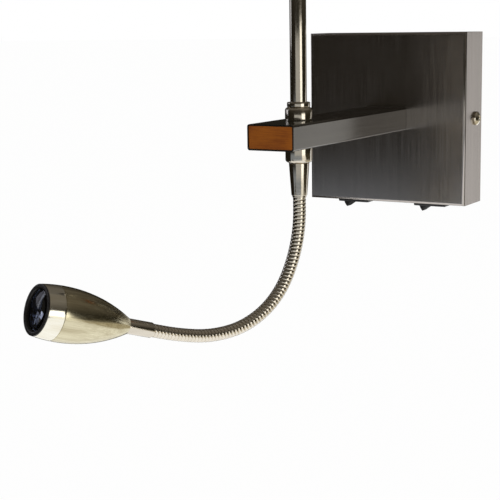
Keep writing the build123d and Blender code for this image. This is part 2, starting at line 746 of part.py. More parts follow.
with BuildPart() as led_chip:
    with BuildSketch(head_plane(board_front)):
        Rectangle(CHIP_SIDE, CHIP_SIDE)
    extrude(amount=CHIP_HEIGHT)
    with BuildSketch(head_plane(board_front + CHIP_HEIGHT)):
        Circle(CHIP_DOME)
    extrude(amount=CHIP_HEIGHT, taper=CHIP_TAPER)
finish(led_chip, "led_chip")

with BuildPart() as board_screws:
    with BuildSketch(head_plane(board_front)):
        with PolarLocations(BOARD_SCREW_CIRCLE, 2):
            Circle(M3_HEAD_RADIUS)
    extrude(amount=M3_HEAD_HEIGHT)
    with BuildSketch(head_plane(board_front)):
        with PolarLocations(BOARD_SCREW_CIRCLE, 2):
            Circle(M3_RADIUS)
    extrude(amount=-BOARD_SHEET - SINK_BASE + SEAT)
finish(board_screws, "board_screws")

# The heat sink fills the shell behind the board: a base disc with radial fins towards the tail.
sink_front = board_back
sink_back = sink_front - SINK_LENGTH
with BuildPart() as heat_sink:
    sink_inset = HEAD_WALL + COVER_GAP
    with BuildSketch(head_profile):
        with BuildLine():
            head_arc(sink_back, sink_front, sink_inset)
            Polyline(
                (sink_front, head_radius(sink_front, sink_inset)),
                (sink_front, LED_LEAD_RADIUS + COVER_GAP),
                (sink_back, LED_LEAD_RADIUS + COVER_GAP),
                (sink_back, head_radius(sink_back, sink_inset)),
            )
        make_face()
    revolve(axis=head_axis)
    with BuildSketch(head_plane(sink_back)):
        with PolarLocations(SINK_CORE_RADIUS + HEAD_MAX_RADIUS / 2, SINK_FINS):
            Rectangle(HEAD_MAX_RADIUS, SINK_SLOT)
    extrude(amount=SINK_LENGTH - SINK_BASE, mode=Mode.SUBTRACT)
    with BuildSketch(head_plane(sink_front)):
        with PolarLocations(BOARD_SCREW_CIRCLE, 2):
            Circle(M3_RADIUS + THREAD)
    extrude(amount=-SINK_BASE, mode=Mode.SUBTRACT)
finish(heat_sink, "heat_sink")

# ---------------------------------------------------------------- rocker switches
flange_low = -box_half - SWITCH_FLANGE
pivot_height = flange_low + ROCKER_PIVOT_DEPTH
body_top = flange_low + SWITCH_FLANGE + SWITCH_BODY_HEIGHT
rocker_names = ("left", "right")
for side, name in zip((-1, 1), rocker_names):
    centre = side * SWITCH_OFFSET
    with BuildPart() as switch_body:
        with BuildSketch(Plane.XY.offset(flange_low)):
            with Locations((centre, -SWITCH_DEPTH)):
                RectangleRounded(SWITCH_FLANGE_LENGTH, SWITCH_FLANGE_WIDTH, SWITCH_FLANGE_CORNER)
        extrude(amount=SWITCH_FLANGE)
        chamfer(switch_body.faces().sort_by(Axis.Z)[0].edges(), SWITCH_FLANGE_CHAMFER)
        with BuildSketch(Plane.XY.offset(-box_half)):
            with Locations((centre, -SWITCH_DEPTH)):
                Rectangle(SWITCH_CUT_LENGTH - 2 * SEAT, SWITCH_CUT_WIDTH - 2 * SEAT)
        extrude(amount=SWITCH_BODY_HEIGHT)
        barb_low = -box_half + COVER_SHEET + SEAT * 2
        for end in (-1, 1):
            barb_root = centre + end * (SWITCH_CUT_LENGTH / 2 - SEAT)
            with BuildSketch(Plane.XZ.offset(SWITCH_DEPTH)):
                with BuildLine():
                    Polyline(
                        (barb_root, barb_low),
                        (barb_root + end * BARB_REACH, barb_low),
                        (barb_root, barb_low + BARB_HEIGHT),
                        close=True,
                    )
                make_face()
            extrude(amount=BARB_WIDTH / 2, both=True)
        with BuildSketch(Plane.XY.offset(flange_low)):
            with Locations((centre, -SWITCH_DEPTH)):
                Rectangle(2 * (ROCKER_RADIUS + COVER_GAP), 2 * (ROCKER_HALF_WIDTH + SEAT * 2))
        extrude(amount=POCKET_HEIGHT, mode=Mode.SUBTRACT)
        trunnion_reach = ROCKER_HALF_WIDTH + TRUNNION_LENGTH + SEAT
        with BuildSketch(Plane.XZ.offset(SWITCH_DEPTH - trunnion_reach)):
            with Locations((centre, pivot_height)):
                Circle(TRUNNION_RADIUS + RUNNING)
        extrude(amount=2 * trunnion_reach, mode=Mode.SUBTRACT)
    finish(switch_body, f"switch_body_{name}")

    # The rocker: two slopes meeting in a valley, round ends about the pivot, a flat back.
    apex = math.radians(ROCKER_SLOPE)
    valley = ROCKER_PIVOT_DEPTH - ROCKER_VALLEY
    apex_x = (-valley * math.tan(apex) + math.sqrt(ROCKER_RADIUS**2 / math.cos(apex) ** 2 - valley**2)) * (
        math.cos(apex) ** 2
    )
    apex_out = valley + apex_x * math.tan(apex)
    back_x = math.sqrt(ROCKER_RADIUS**2 - ROCKER_BACK**2)
    tilt = math.radians(ROCKER_TILT)
    rest_plane = Plane(
        origin=(centre, -SWITCH_DEPTH, pivot_height), x_dir=(math.cos(tilt), 0, math.sin(tilt)), z_dir=(0, -1, 0)
    )
    with BuildPart() as rocker:
        with BuildSketch(rest_plane):
            with BuildLine():
                Polyline((-apex_x, -apex_out), (0, -valley), (apex_x, -apex_out))
                ThreePointArc((apex_x, -apex_out), (ROCKER_RADIUS, 0), (back_x, ROCKER_BACK))
                Line((back_x, ROCKER_BACK), (-back_x, ROCKER_BACK))
                ThreePointArc((-back_x, ROCKER_BACK), (-ROCKER_RADIUS, 0), (-apex_x, -apex_out))
            make_face()
        extrude(amount=ROCKER_HALF_WIDTH, both=True)
        with BuildSketch(rest_plane):
            Circle(TRUNNION_RADIUS)
        extrude(amount=ROCKER_HALF_WIDTH + TRUNNION_LENGTH, both=True)
    finish(rocker, f"rocker_{name}")

with BuildPart() as switch_blades:
    with BuildSketch(Plane.XY.offset(body_top)):
        for side in (-1, 1):
            with Locations((side * SWITCH_OFFSET, -SWITCH_DEPTH)):
                with GridLocations(BLADE_SPACING, 0, 2, 1):
                    Rectangle(BLADE_SHEET, BLADE_WIDTH)
    extrude(amount=BLADE_LENGTH)
finish(switch_blades, "switch_blades")

# ---------------------------------------------------------------- driver, terminals, earth
with BuildPart() as led_driver:
    with BuildSketch(Plane.XZ.offset(BRACKET_SHEET)):
        with Locations((0, -DRIVER_DROP)):
            Rectangle(DRIVER_LENGTH, DRIVER_HEIGHT)
    extrude(amount=DRIVER_DEPTH)
    fillet(led_driver.edges().filter_by(Axis.Y), DRIVER_CORNER)
    chamfer(led_driver.faces().sort_by(Axis.Y)[0].edges(), DRIVER_CHAMFER)
    with BuildSketch(Plane.XZ.offset(BRACKET_SHEET)):
        with Locations((0, -DRIVER_DROP)):
            SlotOverall(DRIVER_LENGTH + 2 * DRIVER_EAR, DRIVER_HEIGHT / 2)
            with Locations((-driver_screw_offset, 0), (driver_screw_offset, 0)):
                Circle(M3_RADIUS + SEAT, mode=Mode.SUBTRACT)
    extrude(amount=DRIVER_EAR_SHEET)
finish(led_driver, "led_driver")

with BuildPart() as driver_screws:
    driver_ear_front = BRACKET_SHEET + DRIVER_EAR_SHEET
    with BuildSketch(Plane.XZ.offset(driver_ear_front)):
        with Locations((-driver_screw_offset, -DRIVER_DROP), (driver_screw_offset, -DRIVER_DROP)):
            Circle(M3_HEAD_RADIUS)
    extrude(amount=M3_HEAD_HEIGHT)
    with BuildSketch(Plane.XZ.offset(driver_ear_front)):
        with Locations((-driver_screw_offset, -DRIVER_DROP), (driver_screw_offset, -DRIVER_DROP)):
            Circle(M3_RADIUS)
    extrude(amount=-driver_ear_front + SEAT)
finish(driver_screws, "driver_screws")

with BuildPart() as terminal_block:
    with BuildSketch(Plane.XZ.offset(BRACKET_SHEET)):
        with Locations((TERMINAL_OFFSET, ENTRY_HEIGHT)):
            Rectangle(TERMINAL_LENGTH, TERMINAL_HEIGHT)
    extrude(amount=TERMINAL_DEPTH)
    with BuildSketch(Plane.XY.offset(ENTRY_HEIGHT + TERMINAL_HEIGHT / 2)):
        with Locations((TERMINAL_OFFSET, -BRACKET_SHEET - TERMINAL_DEPTH / 2)):
            with GridLocations(TERMINAL_PITCH, 0, TERMINAL_POLES, 1):
                Circle(TERMINAL_HOLE_RADIUS)
    extrude(amount=-TERMINAL_HEIGHT / 2, mode=Mode.SUBTRACT)
    with BuildSketch(Plane.XZ.offset(BRACKET_SHEET + TERMINAL_DEPTH)):
        with Locations((TERMINAL_OFFSET, ENTRY_HEIGHT)):
            with GridLocations(TERMINAL_PITCH, 0, TERMINAL_POLES, 1):
                Circle(M3_HEAD_RADIUS + SEAT)
    extrude(amount=-TERMINAL_DEPTH / 3, mode=Mode.SUBTRACT)
    with BuildSketch(Plane.XZ.offset(BRACKET_SHEET)):
        with Locations(
            (TERMINAL_OFFSET - terminal_peg_offset, ENTRY_HEIGHT), (TERMINAL_OFFSET + terminal_peg_offset, ENTRY_HEIGHT)
        ):
            Circle(M3_RADIUS)
    extrude(amount=-BRACKET_SHEET + SEAT)
finish(terminal_block, "terminal_block")

with BuildPart() as terminal_screws:
    screw_seat = BRACKET_SHEET + TERMINAL_DEPTH * 2 / 3
    with BuildSketch(Plane.XZ.offset(screw_seat)):
        with Locations((TERMINAL_OFFSET, ENTRY_HEIGHT)):
            with GridLocations(TERMINAL_PITCH, 0, TERMINAL_POLES, 1):
                Circle(M3_HEAD_RADIUS)
    extrude(amount=M3_HEAD_HEIGHT)
    with BuildSketch(Plane.XZ.offset(screw_seat + M3_HEAD_HEIGHT)):
        with Locations((TERMINAL_OFFSET, ENTRY_HEIGHT)):
            with GridLocations(TERMINAL_PITCH, 0, TERMINAL_POLES, 1):
                Rectangle(2 * M3_HEAD_RADIUS, BLADE_SHEET)
    extrude(amount=-M3_HEAD_HEIGHT / 2, mode=Mode.SUBTRACT)
finish(terminal_screws, "terminal_screws")

with BuildPart() as earth_stud:
    with BuildSketch(Plane.XZ.offset(BRACKET_SHEET)):
        with Locations((-TERMINAL_OFFSET, ENTRY_HEIGHT)):
            Circle(STUD_RADIUS)
    extrude(amount=EARTH_STUD_LENGTH)
    with BuildSketch(Plane.XZ.offset(BRACKET_SHEET)):
        with Locations((-TERMINAL_OFFSET, ENTRY_HEIGHT)):
            Circle(EARTH_TAG_RADIUS)
    extrude(amount=BLADE_SHEET)
    with BuildSketch(Plane.XZ.offset(BRACKET_SHEET + BLADE_SHEET)):
        with Locations((-TERMINAL_OFFSET, ENTRY_HEIGHT)):
            RegularPolygon(NUT_ACROSS / 2, 6, major_radius=False)
    extrude(amount=NUT_HEIGHT)
finish(earth_stud, "earth_stud")

# ---------------------------------------------------------------- leads from the box to the two lights
with BuildPart() as led_lead:
    with BuildLine():
        FilletPolyline(
            (DRIVER_LENGTH / 2, -LED_LEAD_DEPTH, -DRIVER_DROP),
            (LED_LEAD_SIDE, -LED_LEAD_DEPTH, -DRIVER_DROP),
            (LED_LEAD_SIDE, -LED_LEAD_DEPTH, -LEAD_RISE),
            (0, -LED_LEAD_DEPTH, -LEAD_RISE),
            (0, -stem_out, -LEAD_RISE),
            (0, -stem_out, rod_bottom),
            radius=[LEAD_TURN, LEAD_BEND, LEAD_BEND, LEAD_TURN],
        )
    with BuildSketch(Plane.YZ.offset(DRIVER_LENGTH / 2)):
        with Locations((-LED_LEAD_DEPTH, -DRIVER_DROP)):
            Circle(LED_LEAD_RADIUS)
    sweep()
finish(led_lead, "led_lead")

cap_bottom = stem_top
holder_bottom = cap_bottom + HOLDER_CAP_HEIGHT - HOLDER_SEAT
insert_bottom = holder_bottom + HOLDER_WALL
with BuildPart() as lamp_lead:
    terminal_low = ENTRY_HEIGHT - TERMINAL_HEIGHT / 2
    with BuildLine():
        FilletPolyline(
            (TERMINAL_OFFSET, -LAMP_LEAD_DEPTH, terminal_low),
            (TERMINAL_OFFSET, -LAMP_LEAD_DEPTH, LEAD_RISE),
            (0, -LAMP_LEAD_DEPTH, LEAD_RISE),
            (0, -stem_out, LEAD_RISE),
            (0, -stem_out, insert_bottom - SEAT),
            radius=[LEAD_BEND, LEAD_BEND, LEAD_TURN],
        )
    with BuildSketch(Plane.XY.offset(terminal_low)):
        with Locations((TERMINAL_OFFSET, -LAMP_LEAD_DEPTH)):
            Circle(LAMP_LEAD_RADIUS)
    sweep()
finish(lamp_lead, "lamp_lead")

# ---------------------------------------------------------------- lampholder on the stem
top_nipple = turned_collar(
    stem_top - HOLDER_SEAT, HOLDER_SEAT + HOLDER_NECK_HEIGHT + HOLDER_SEAT / 2, ROD_RADIUS, ROD_BORE
)
finish(top_nipple, "top_nipple")

with BuildPart() as lampholder_cap:
    cap_top = cap_bottom + HOLDER_CAP_HEIGHT
    cap_shoulder = cap_bottom + HOLDER_CAP_SHOULDER
    with BuildSketch(stem_plane):
        with BuildLine():
            Polyline(
                (ROD_RADIUS + THREAD, cap_bottom + HOLDER_NECK_HEIGHT),
                (ROD_RADIUS + THREAD, cap_bottom),
                (HOLDER_NECK_RADIUS, cap_bottom),
                (HOLDER_NECK_RADIUS, cap_bottom + HOLDER_NECK_HEIGHT - HOLDER_CAP_WALL),
            )
            RadiusArc(
                (HOLDER_NECK_RADIUS, cap_bottom + HOLDER_NECK_HEIGHT - HOLDER_CAP_WALL),
                (HOLDER_CAP_RADIUS, cap_shoulder),
                -HOLDER_CAP_RADIUS,
            )
            Polyline(
                (HOLDER_CAP_RADIUS, cap_shoulder),
                (HOLDER_CAP_RADIUS, cap_top),
                (HOLDER_CAP_RADIUS - HOLDER_CAP_WALL, cap_top),
                (HOLDER_CAP_RADIUS - HOLDER_CAP_WALL, cap_shoulder),
            )
            RadiusArc(
                (HOLDER_CAP_RADIUS - HOLDER_CAP_WALL, cap_shoulder),
                (HOLDER_NECK_RADIUS, cap_bottom + HOLDER_NECK_HEIGHT),
                HOLDER_CAP_RADIUS - HOLDER_CAP_WALL,
            )
            Line(
                (HOLDER_NECK_RADIUS, cap_bottom + HOLDER_NECK_HEIGHT),
                (ROD_RADIUS + THREAD, cap_bottom + HOLDER_NECK_HEIGHT),
            )
        make_face()
    revolve(axis=stem_axis)
finish(lampholder_cap, "lampholder_cap")

holder_top = holder_bottom + HOLDER_HEIGHT
insert_radius = HOLDER_RADIUS - HOLDER_WALL - SEAT
with BuildPart() as lampholder_body:
    with BuildSketch(Plane.XY.offset(holder_bottom)):
        with Locations((0, -stem_out)):
            Circle(HOLDER_RADIUS)
    extrude(amount=HOLDER_HEIGHT)
    with BuildSketch(Plane.XY.offset(insert_bottom)):
        with Locations((0, -stem_out)):
            Circle(HOLDER_RADIUS - HOLDER_WALL)
    extrude(amount=HOLDER_HEIGHT, mode=Mode.SUBTRACT)
    with BuildSketch(Plane.XY.offset(holder_bottom)):
        with Locations((0, -stem_out)):
            Circle(ROD_RADIUS)
    extrude(amount=HOLDER_WALL, mode=Mode.SUBTRACT)
finish(lampholder_body, "lampholder_body")

with BuildPart() as lampholder_insert:
    shell_radius = SHELL_BORE + SHELL_WALL
    with BuildSketch(Plane.XY.offset(insert_bottom)):
        with Locations((0, -stem_out)):
            Circle(insert_radius)
    extrude(amount=INSERT_HEIGHT)
    with BuildSketch(Plane.XY.offset(insert_bottom + INSERT_FLOOR)):
        with Locations((0, -stem_out)):
            Circle(shell_radius + SEAT)
    extrude(amount=INSERT_HEIGHT, mode=Mode.SUBTRACT)
finish(lampholder_insert, "lampholder_insert")

contact_seat = insert_bottom + INSERT_FLOOR
shell_bottom = contact_seat + CONTACT_HEIGHT + SEAT
lampholder_shell = turned_collar(shell_bottom, SHELL_LENGTH, SHELL_BORE + SHELL_WALL, SHELL_BORE)
finish(lampholder_shell, "lampholder_shell")

with BuildPart() as lampholder_contact:
    with BuildSketch(Plane.XY.offset(contact_seat)):
        with Locations((0, -stem_out)):
            Circle(CONTACT_RADIUS)
    extrude(amount=CONTACT_HEIGHT, taper=CONTACT_TAPER)
finish(lampholder_contact, "lampholder_contact")

# Two threaded rings clamp a shade between them.
with BuildPart() as shade_rings:
    for step in range(2):
        ring_low = cap_top + SHADE_RING_UP + step * (SHADE_RING_HEIGHT + SHADE_RING_GAP)
        with BuildSketch(Plane.XY.offset(ring_low)):
            with Locations((0, -stem_out)):
                Circle(SHADE_RING_RADIUS)
                Circle(HOLDER_RADIUS + SEAT, mode=Mode.SUBTRACT)
        extrude(amount=SHADE_RING_HEIGHT)
finish(shade_rings, "shade_rings")
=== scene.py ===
import json
import math

import bmesh
import bpy
from mathutils import Matrix, Vector


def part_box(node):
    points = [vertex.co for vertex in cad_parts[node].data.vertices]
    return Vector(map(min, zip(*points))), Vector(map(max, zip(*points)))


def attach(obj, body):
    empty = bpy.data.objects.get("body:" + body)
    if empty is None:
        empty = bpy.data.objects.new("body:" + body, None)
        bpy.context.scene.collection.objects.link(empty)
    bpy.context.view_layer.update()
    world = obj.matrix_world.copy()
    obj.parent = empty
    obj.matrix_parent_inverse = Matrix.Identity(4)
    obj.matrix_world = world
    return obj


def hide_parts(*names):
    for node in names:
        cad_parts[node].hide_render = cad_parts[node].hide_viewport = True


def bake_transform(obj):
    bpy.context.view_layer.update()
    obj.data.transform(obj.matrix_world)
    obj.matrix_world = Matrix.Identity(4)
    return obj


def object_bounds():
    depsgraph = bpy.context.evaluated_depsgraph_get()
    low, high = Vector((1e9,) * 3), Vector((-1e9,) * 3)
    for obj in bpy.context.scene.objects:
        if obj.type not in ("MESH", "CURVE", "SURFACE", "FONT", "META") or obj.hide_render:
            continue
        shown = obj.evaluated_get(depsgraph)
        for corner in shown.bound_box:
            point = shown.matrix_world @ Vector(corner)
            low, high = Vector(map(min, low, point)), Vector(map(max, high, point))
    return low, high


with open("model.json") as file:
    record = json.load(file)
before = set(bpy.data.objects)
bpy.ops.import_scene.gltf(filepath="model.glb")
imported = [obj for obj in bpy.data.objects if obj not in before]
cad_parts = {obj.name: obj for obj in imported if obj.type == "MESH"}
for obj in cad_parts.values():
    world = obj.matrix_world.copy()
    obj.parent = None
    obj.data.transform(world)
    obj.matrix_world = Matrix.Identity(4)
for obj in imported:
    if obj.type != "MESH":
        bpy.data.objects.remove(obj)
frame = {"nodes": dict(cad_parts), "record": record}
cad_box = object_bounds()


# ---------------------------------------------------------------- wall box
# A tray folded from thin steel sheet and plated dark nickel. Its face was brushed upright on a belt
# before plating, so fine upright lines run down the face and the sides, and the bends came out bright.
class Wire:
    """One output in a node tree. Python's operators on it add Math nodes."""

    def __init__(self, tree, socket):
        self.tree = tree
        self.socket = socket

    def maths(self, operation, first, second=0.0):
        return self.tree.node("ShaderNodeMath", {"operation": operation}, {0: first, 1: second})

    def __add__(self, other):
        return self.maths("ADD", self, other)

    def __sub__(self, other):
        return self.maths("SUBTRACT", self, other)

    def __rsub__(self, other):
        return self.maths("SUBTRACT", other, self)

    def __mul__(self, other):
        return self.maths("MULTIPLY", self, other)

    def __truediv__(self, other):
        return self.maths("DIVIDE", self, other)

    __radd__ = __add__
    __rmul__ = __mul__


class Tree:
    """A node tree. node() adds any node: its type, its settings, then its sockets' values or links."""

    def __init__(self, nodes):
        self.nodes = nodes
        self.nodes.nodes.clear()

    def node(self, kind, settings=None, sockets=None, out=0):
        made = self.nodes.nodes.new(kind)
        for key, value in (settings or {}).items():
            setattr(made, key, value)
        for key, value in (sockets or {}).items():
            if isinstance(value, Wire):
                self.nodes.links.new(value.socket, made.inputs[key])
            else:
                made.inputs[key].default_value = value
        return Wire(self, made.outputs[out]) if made.outputs else None


class Finish(Tree):
    """A material for one finish, with the patterns that the lamp's metals and plastics share."""

    def __init__(self, name):
        self.material = bpy.data.materials.new(name)
        self.material.use_nodes = True
        super().__init__(self.material.node_tree)

    def place(self, stretch, turn=(0.0, 0.0, 0.0), centre=(0.0, 0.0, 0.0)):
        """Object coordinates about a centre, turned, then stretched."""
        seen = self.node("ShaderNodeTexCoord", out="Object")
        moved = self.node("ShaderNodeVectorMath", {"operation": "SUBTRACT"}, {0: seen, 1: centre})
        turned = self.node("ShaderNodeMapping", {}, {"Vector": moved, "Rotation": turn})
        return self.node("ShaderNodeMapping", {}, {"Vector": turned, "Scale": stretch})

    def noise(self, where, detail=4.0):
        return self.node("ShaderNodeTexNoise", {}, {"Vector": where, "Scale": 1.0, "Detail": detail})

    def spread(self, value, low, high, first=0.0, last=1.0):
        """A value between low and high, spread from first to last."""
        return self.node("ShaderNodeMapRange", {}, {0: value, 1: low, 2: high, 3: first, 4: last})

    def gloss(self, pattern, smoothest, roughest):
        """A roughness that follows a pattern."""
        return self.spread(pattern, 0.3, 0.7, smoothest, roughest)

    def mix(self, share, first, second):
        colours = {0: share, 6: tint(first), 7: tint(second)}
        return self.node("ShaderNodeMix", {"data_type": "RGBA"}, colours, out=2)

    def end(self, height=None, depth=0.0001, strength=0.3, **sockets):
        """Closes the material with its main shader, and a bump where a height is given."""
        feeds = {key.replace("_", " "): tint(value) for key, value in sockets.items()}
        if height is not None:
            feeds["Normal"] = self.node(
                "ShaderNodeBump", {}, {"Height": height, "Strength": strength, "Distance": depth}
            )
        shader = self.node("ShaderNodeBsdfPrincipled", {}, feeds)
        self.node("ShaderNodeOutputMaterial", {}, {"Surface": shader})
        return self.material


def tint(value):
    return (*value, 1.0) if isinstance(value, tuple) and len(value) == 3 else value


CLOUD_SCALE = (9.0, 9.0, 9.0)
BAND_WIDTH = 6


def brushed(name, dark, light, roughness, lines, scratch=0.15, grain=0.0):
    """Brushed, plated metal: fine lines one way, cloudy changes of tone, a gloss drawn out by the grain."""
    finish = Finish(name)
    fine = finish.noise(finish.place(lines), detail=6.0)
    broad = finish.noise(finish.place(tuple(step / BAND_WIDTH for step in lines)), detail=3.0)
    cloud = finish.noise(finish.place(CLOUD_SCALE), detail=2.0)
    tone = finish.spread(fine * 0.4 + broad * 0.35 + cloud * 0.25, 0.36, 0.64)
    return finish.end(
        Base_Color=finish.mix(tone, dark, light),
        Metallic=1.0,
        Roughness=finish.gloss(fine, roughness - 0.04, roughness + 0.05),
        Anisotropic=grain,
        height=fine,
        strength=scratch,
        depth=0.00005,
    )


def flecked(name, scale, dark, light, smoothest, roughest, detail=3.0, bump=0.0, depth=0.0001, **sockets):
    """A finish whose tone and gloss follow one fine pattern, which raises it too where a bump is given."""
    finish = Finish(name)
    flecks = finish.noise(finish.place((scale, scale, scale)), detail=detail)
    return finish.end(
        Base_Color=finish.mix(flecks, dark, light),
        Roughness=finish.gloss(flecks, smoothest, roughest),
        height=flecks if bump else None,
        strength=bump,
        depth=depth,
        **sockets,
    )


def dressed(node, material):
    """Gives a CAD node its finish."""
    piece = frame["nodes"][node]
    piece.data.materials.clear()
    piece.data.materials.append(material)


def body_of(node):
    return next(body for body, nodes in frame["record"]["behaviour"]["bodies"].items() if node in nodes)


def stand_for(piece, node, *others):
    """Makes a finished piece ride where its CAD node rides and stand for it."""
    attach(piece, body_of(node))
    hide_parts(node, *others)


def smoothed(node, name, material, angle=32.0):
    """A copy of a CAD node, joined up and shaded smooth between its edges, that stands for the node."""
    mesh = frame["nodes"][node].data.copy()
    mesh.name = name
    shape = bmesh.new()
    shape.from_mesh(mesh)
    bmesh.ops.remove_doubles(shape, verts=shape.verts, dist=1e-6)
    shape.to_mesh(mesh)
    shape.free()
    mesh.materials.clear()
    mesh.materials.append(material)
    mesh.shade_smooth()
    mesh.set_sharp_from_angle(angle=math.radians(angle))
    piece = bpy.data.objects.new(name, mesh)
    bpy.context.scene.collection.objects.link(piece)
    even = piece.modifiers.new("even_normals", "WEIGHTED_NORMAL")
    even.keep_sharp = True
    even.weight = 100
    baked = bpy.data.meshes.new_from_object(piece.evaluated_get(bpy.context.evaluated_depsgraph_get()))
    piece.modifiers.clear()
    piece.data = baked
    stand_for(piece, node)
    return piece


UPRIGHT_LINES = (1500.0, 1500.0, 22.0)
box_steel = brushed(
    "box_steel", (0.47, 0.435, 0.405), (0.56, 0.520, 0.488), 0.20, UPRIGHT_LINES, 0.06, grain=0.7
)
smoothed("cover_box", "wall_cover", box_steel)

ZINC_SPANGLE = (400.0, 400.0, 400.0)
zinc = brushed("zinc_plate", (0.50, 0.50, 0.50), (0.68, 0.68, 0.67), 0.32, ZINC_SPANGLE)
dressed("wall_bracket", zinc)

# ---------------------------------------------------------------- cover screws
# Two bright plated machine screws with cross recesses. They pass through the tray's side walls into
# clinch nuts in the bracket's ears, and hold the tray on.
SCREW_MARKS = (900.0, 900.0, 900.0)
screw_steel = brushed("screw_plate", (0.86, 0.80, 0.66), (0.97, 0.93, 0.82), 0.10, SCREW_MARKS, 0.1)
smoothed("cover_screws", "cover_screw_pair", screw_steel, angle=25.0)

# ---------------------------------------------------------------- arm
# Flat steel tube, 40 by 20, brushed along its length and plated like the box, but coloured far darker than
# the box as painted shade. A flange welded to its root is bolted behind the tray's face. A plug of warm brown
# brushed bronze closes the open end.
ALONG_ARM = (1500.0, 20.0, 1500.0)
# the box's plating at about a third of its brightness: painted shade on the arm
arm_steel_painted_shade = brushed("arm_steel_painted_shade", (0.190, 0.183, 0.168), (0.240, 0.230, 0.212), 0.18, ALONG_ARM, 0.06)
smoothed("arm_tube", "arm_profile", arm_steel_painted_shade)

PLUG_LINES = (60.0, 60.0, 1400.0)
PLUG_CLOUDS = (45.0, 45.0, 60.0)
plug = Finish("plug_bronze")
plug_lines = plug.noise(plug.place(PLUG_LINES), detail=6.0)
plug_cloud = plug.noise(plug.place(PLUG_CLOUDS), detail=3.0)
plug_tone = plug.spread(plug_lines * 0.45 + plug_cloud * 0.55, 0.38, 0.62)
plug_bronze = plug.end(
    Base_Color=plug.mix(plug_tone, (0.150, 0.034, 0.001), (0.275, 0.078, 0.002)),
    Metallic=0.1,
    Roughness=plug.gloss(plug_lines, 0.42, 0.56),
    Specular_IOR_Level=0.2,
    height=plug_lines,
    strength=0.2,
    depth=0.00005,
)
smoothed("arm_end_cap", "arm_plug", plug_bronze)
for hidden in ("arm_flange", "flange_nuts"):
    dressed(hidden, zinc)

# ---------------------------------------------------------------- stem and collars
# Pieces turned from brass bar and plated satin nickel: two collars that a hollow threaded rod pulls
# against the arm, a small ring, and the plain stem tube that carries the upper lampholder.
LATHE_STEPS = 96
CORNER_STEPS = 4
NEARLY_STRAIGHT = math.radians(155)


def eased(profile, size, closed=True):
    """A profile with each real corner rounded off, as a tool's nose or a polishing wheel leaves it."""
    made = []
    count = len(profile)
    for i, corner in enumerate(profile):
        here = Vector(corner)
        if not closed and i in (0, count - 1) or corner[1] < 1e-6:
            made.append(corner)
            continue
        before, after = Vector(profile[i - 1]) - here, Vector(profile[(i + 1) % count]) - here
        if before.length < 1e-7 or after.length < 1e-7 or before.angle(after) > NEARLY_STRAIGHT:
            made.append(corner)
            continue
        first = here + before.normalized() * min(size, before.length * 0.45)
        last = here + after.normalized() * min(size, after.length * 0.45)
        for step in range(CORNER_STEPS + 1):
            t = step / CORNER_STEPS
            made.append(tuple(first * (1 - t) ** 2 + here * 2 * t * (1 - t) + last * t**2))
    return made


def turned(name, profile, origin, axis, side, material, edge=0.0003, closed=True):
    """A lathe-turned piece: (height, radius) points along an axis, swept round it, corners eased."""
    across = Vector(axis).cross(Vector(side)).normalized()
    shape = bmesh.new()
    rows = []
    for height, radius in eased(profile, edge, closed):
        centre = Vector(origin) + Vector(axis) * height
        steps = LATHE_STEPS if radius > 1e-6 else 1
        rows.append([
            shape.verts.new(
                centre
                + Vector(side) * radius * math.cos(math.tau * i / steps)
                + across * radius * math.sin(math.tau * i / steps)
            )
            for i in range(steps)
        ])
    pairs = list(zip(rows, rows[1:])) + ([(rows[-1], rows[0])] if closed else [])
    for low, high in pairs:
        for i in range(LATHE_STEPS):
            j = (i + 1) % LATHE_STEPS
            if len(low) == 1 and len(high) == 1:
                continue
            if len(low) == 1:
                shape.faces.new((low[0], high[i], high[j]))
            elif len(high) == 1:
                shape.faces.new((low[i], high[0], low[j]))
            else:
                shape.faces.new((low[i], high[i], high[j], low[j]))
    bmesh.ops.recalc_face_normals(shape, faces=shape.faces)
    mesh = bpy.data.meshes.new(name)
    shape.to_mesh(mesh)
    shape.free()
    mesh.materials.append(material)
    mesh.shade_smooth()
    mesh.set_sharp_from_angle(angle=math.radians(40.0))
    piece = bpy.data.objects.new(name, mesh)
    bpy.context.scene.collection.objects.link(piece)
    return piece


def span(node):
    """Lowest and highest point of a piece on the stem's axis, and its largest radius."""
    low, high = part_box(node)
    return low.z, high.z, (high.x - low.x) / 2


UP, ACROSS = Vector((0, 0, 1)), Vector((1, 0, 0))
stem_low, stem_high, stem_radius = span("stem_tube")
tube_low, tube_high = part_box("stem_tube")
stem_axis = Vector((0, (tube_low.y + tube_high.y) / 2, 0))
ROD_BORE = 0.00505

LATHE_LINES = (40.0, 40.0, 2600.0)
STEM_LINES = (1400.0, 1400.0, 16.0)
turned_nickel = brushed("turned_nickel", (0.68, 0.625, 0.530), (0.78, 0.722, 0.620), 0.13, LATHE_LINES, 0.08)
stem_nickel = brushed("stem_nickel", (0.62, 0.570, 0.482), (0.72, 0.664, 0.565), 0.13, STEM_LINES, 0.08)


def on_stem(node, name, profile, material, edge):
    stand_for(turned(name, profile, stem_axis, UP, ACROSS, material, edge), node)


# a collar's rounded outer edge: how far from its end, and how far in from its side
COLLAR_ROUND = ((0.0022, 0.0), (0.0013, 0.0003), (0.0005, 0.0010), (0.0, 0.0022))
COLLAR_EDGE = 0.0004
RING_EDGE = 0.0009
STEM_EDGE = 0.0003
low, high, radius = span("upper_collar")
upper_round = [(high - back, radius - inset) for back, inset in COLLAR_ROUND]
on_stem("upper_collar", "collar_above_arm",
        [(low, ROD_BORE), (low, radius)] + upper_round + [(high, ROD_BORE)], turned_nickel, COLLAR_EDGE)
low, high, radius = span("stem_ring")
on_stem("stem_ring", "ring_under_stem", [
    (low, ROD_BORE), (low, radius), (high, radius), (high, ROD_BORE),
], turned_nickel, RING_EDGE)
on_stem("stem_tube", "stem", [
    (stem_low, ROD_BORE), (stem_low, stem_radius), (stem_high, stem_radius), (stem_high, ROD_BORE),
], stem_nickel, STEM_EDGE)
low, high, radius = span("lower_collar")
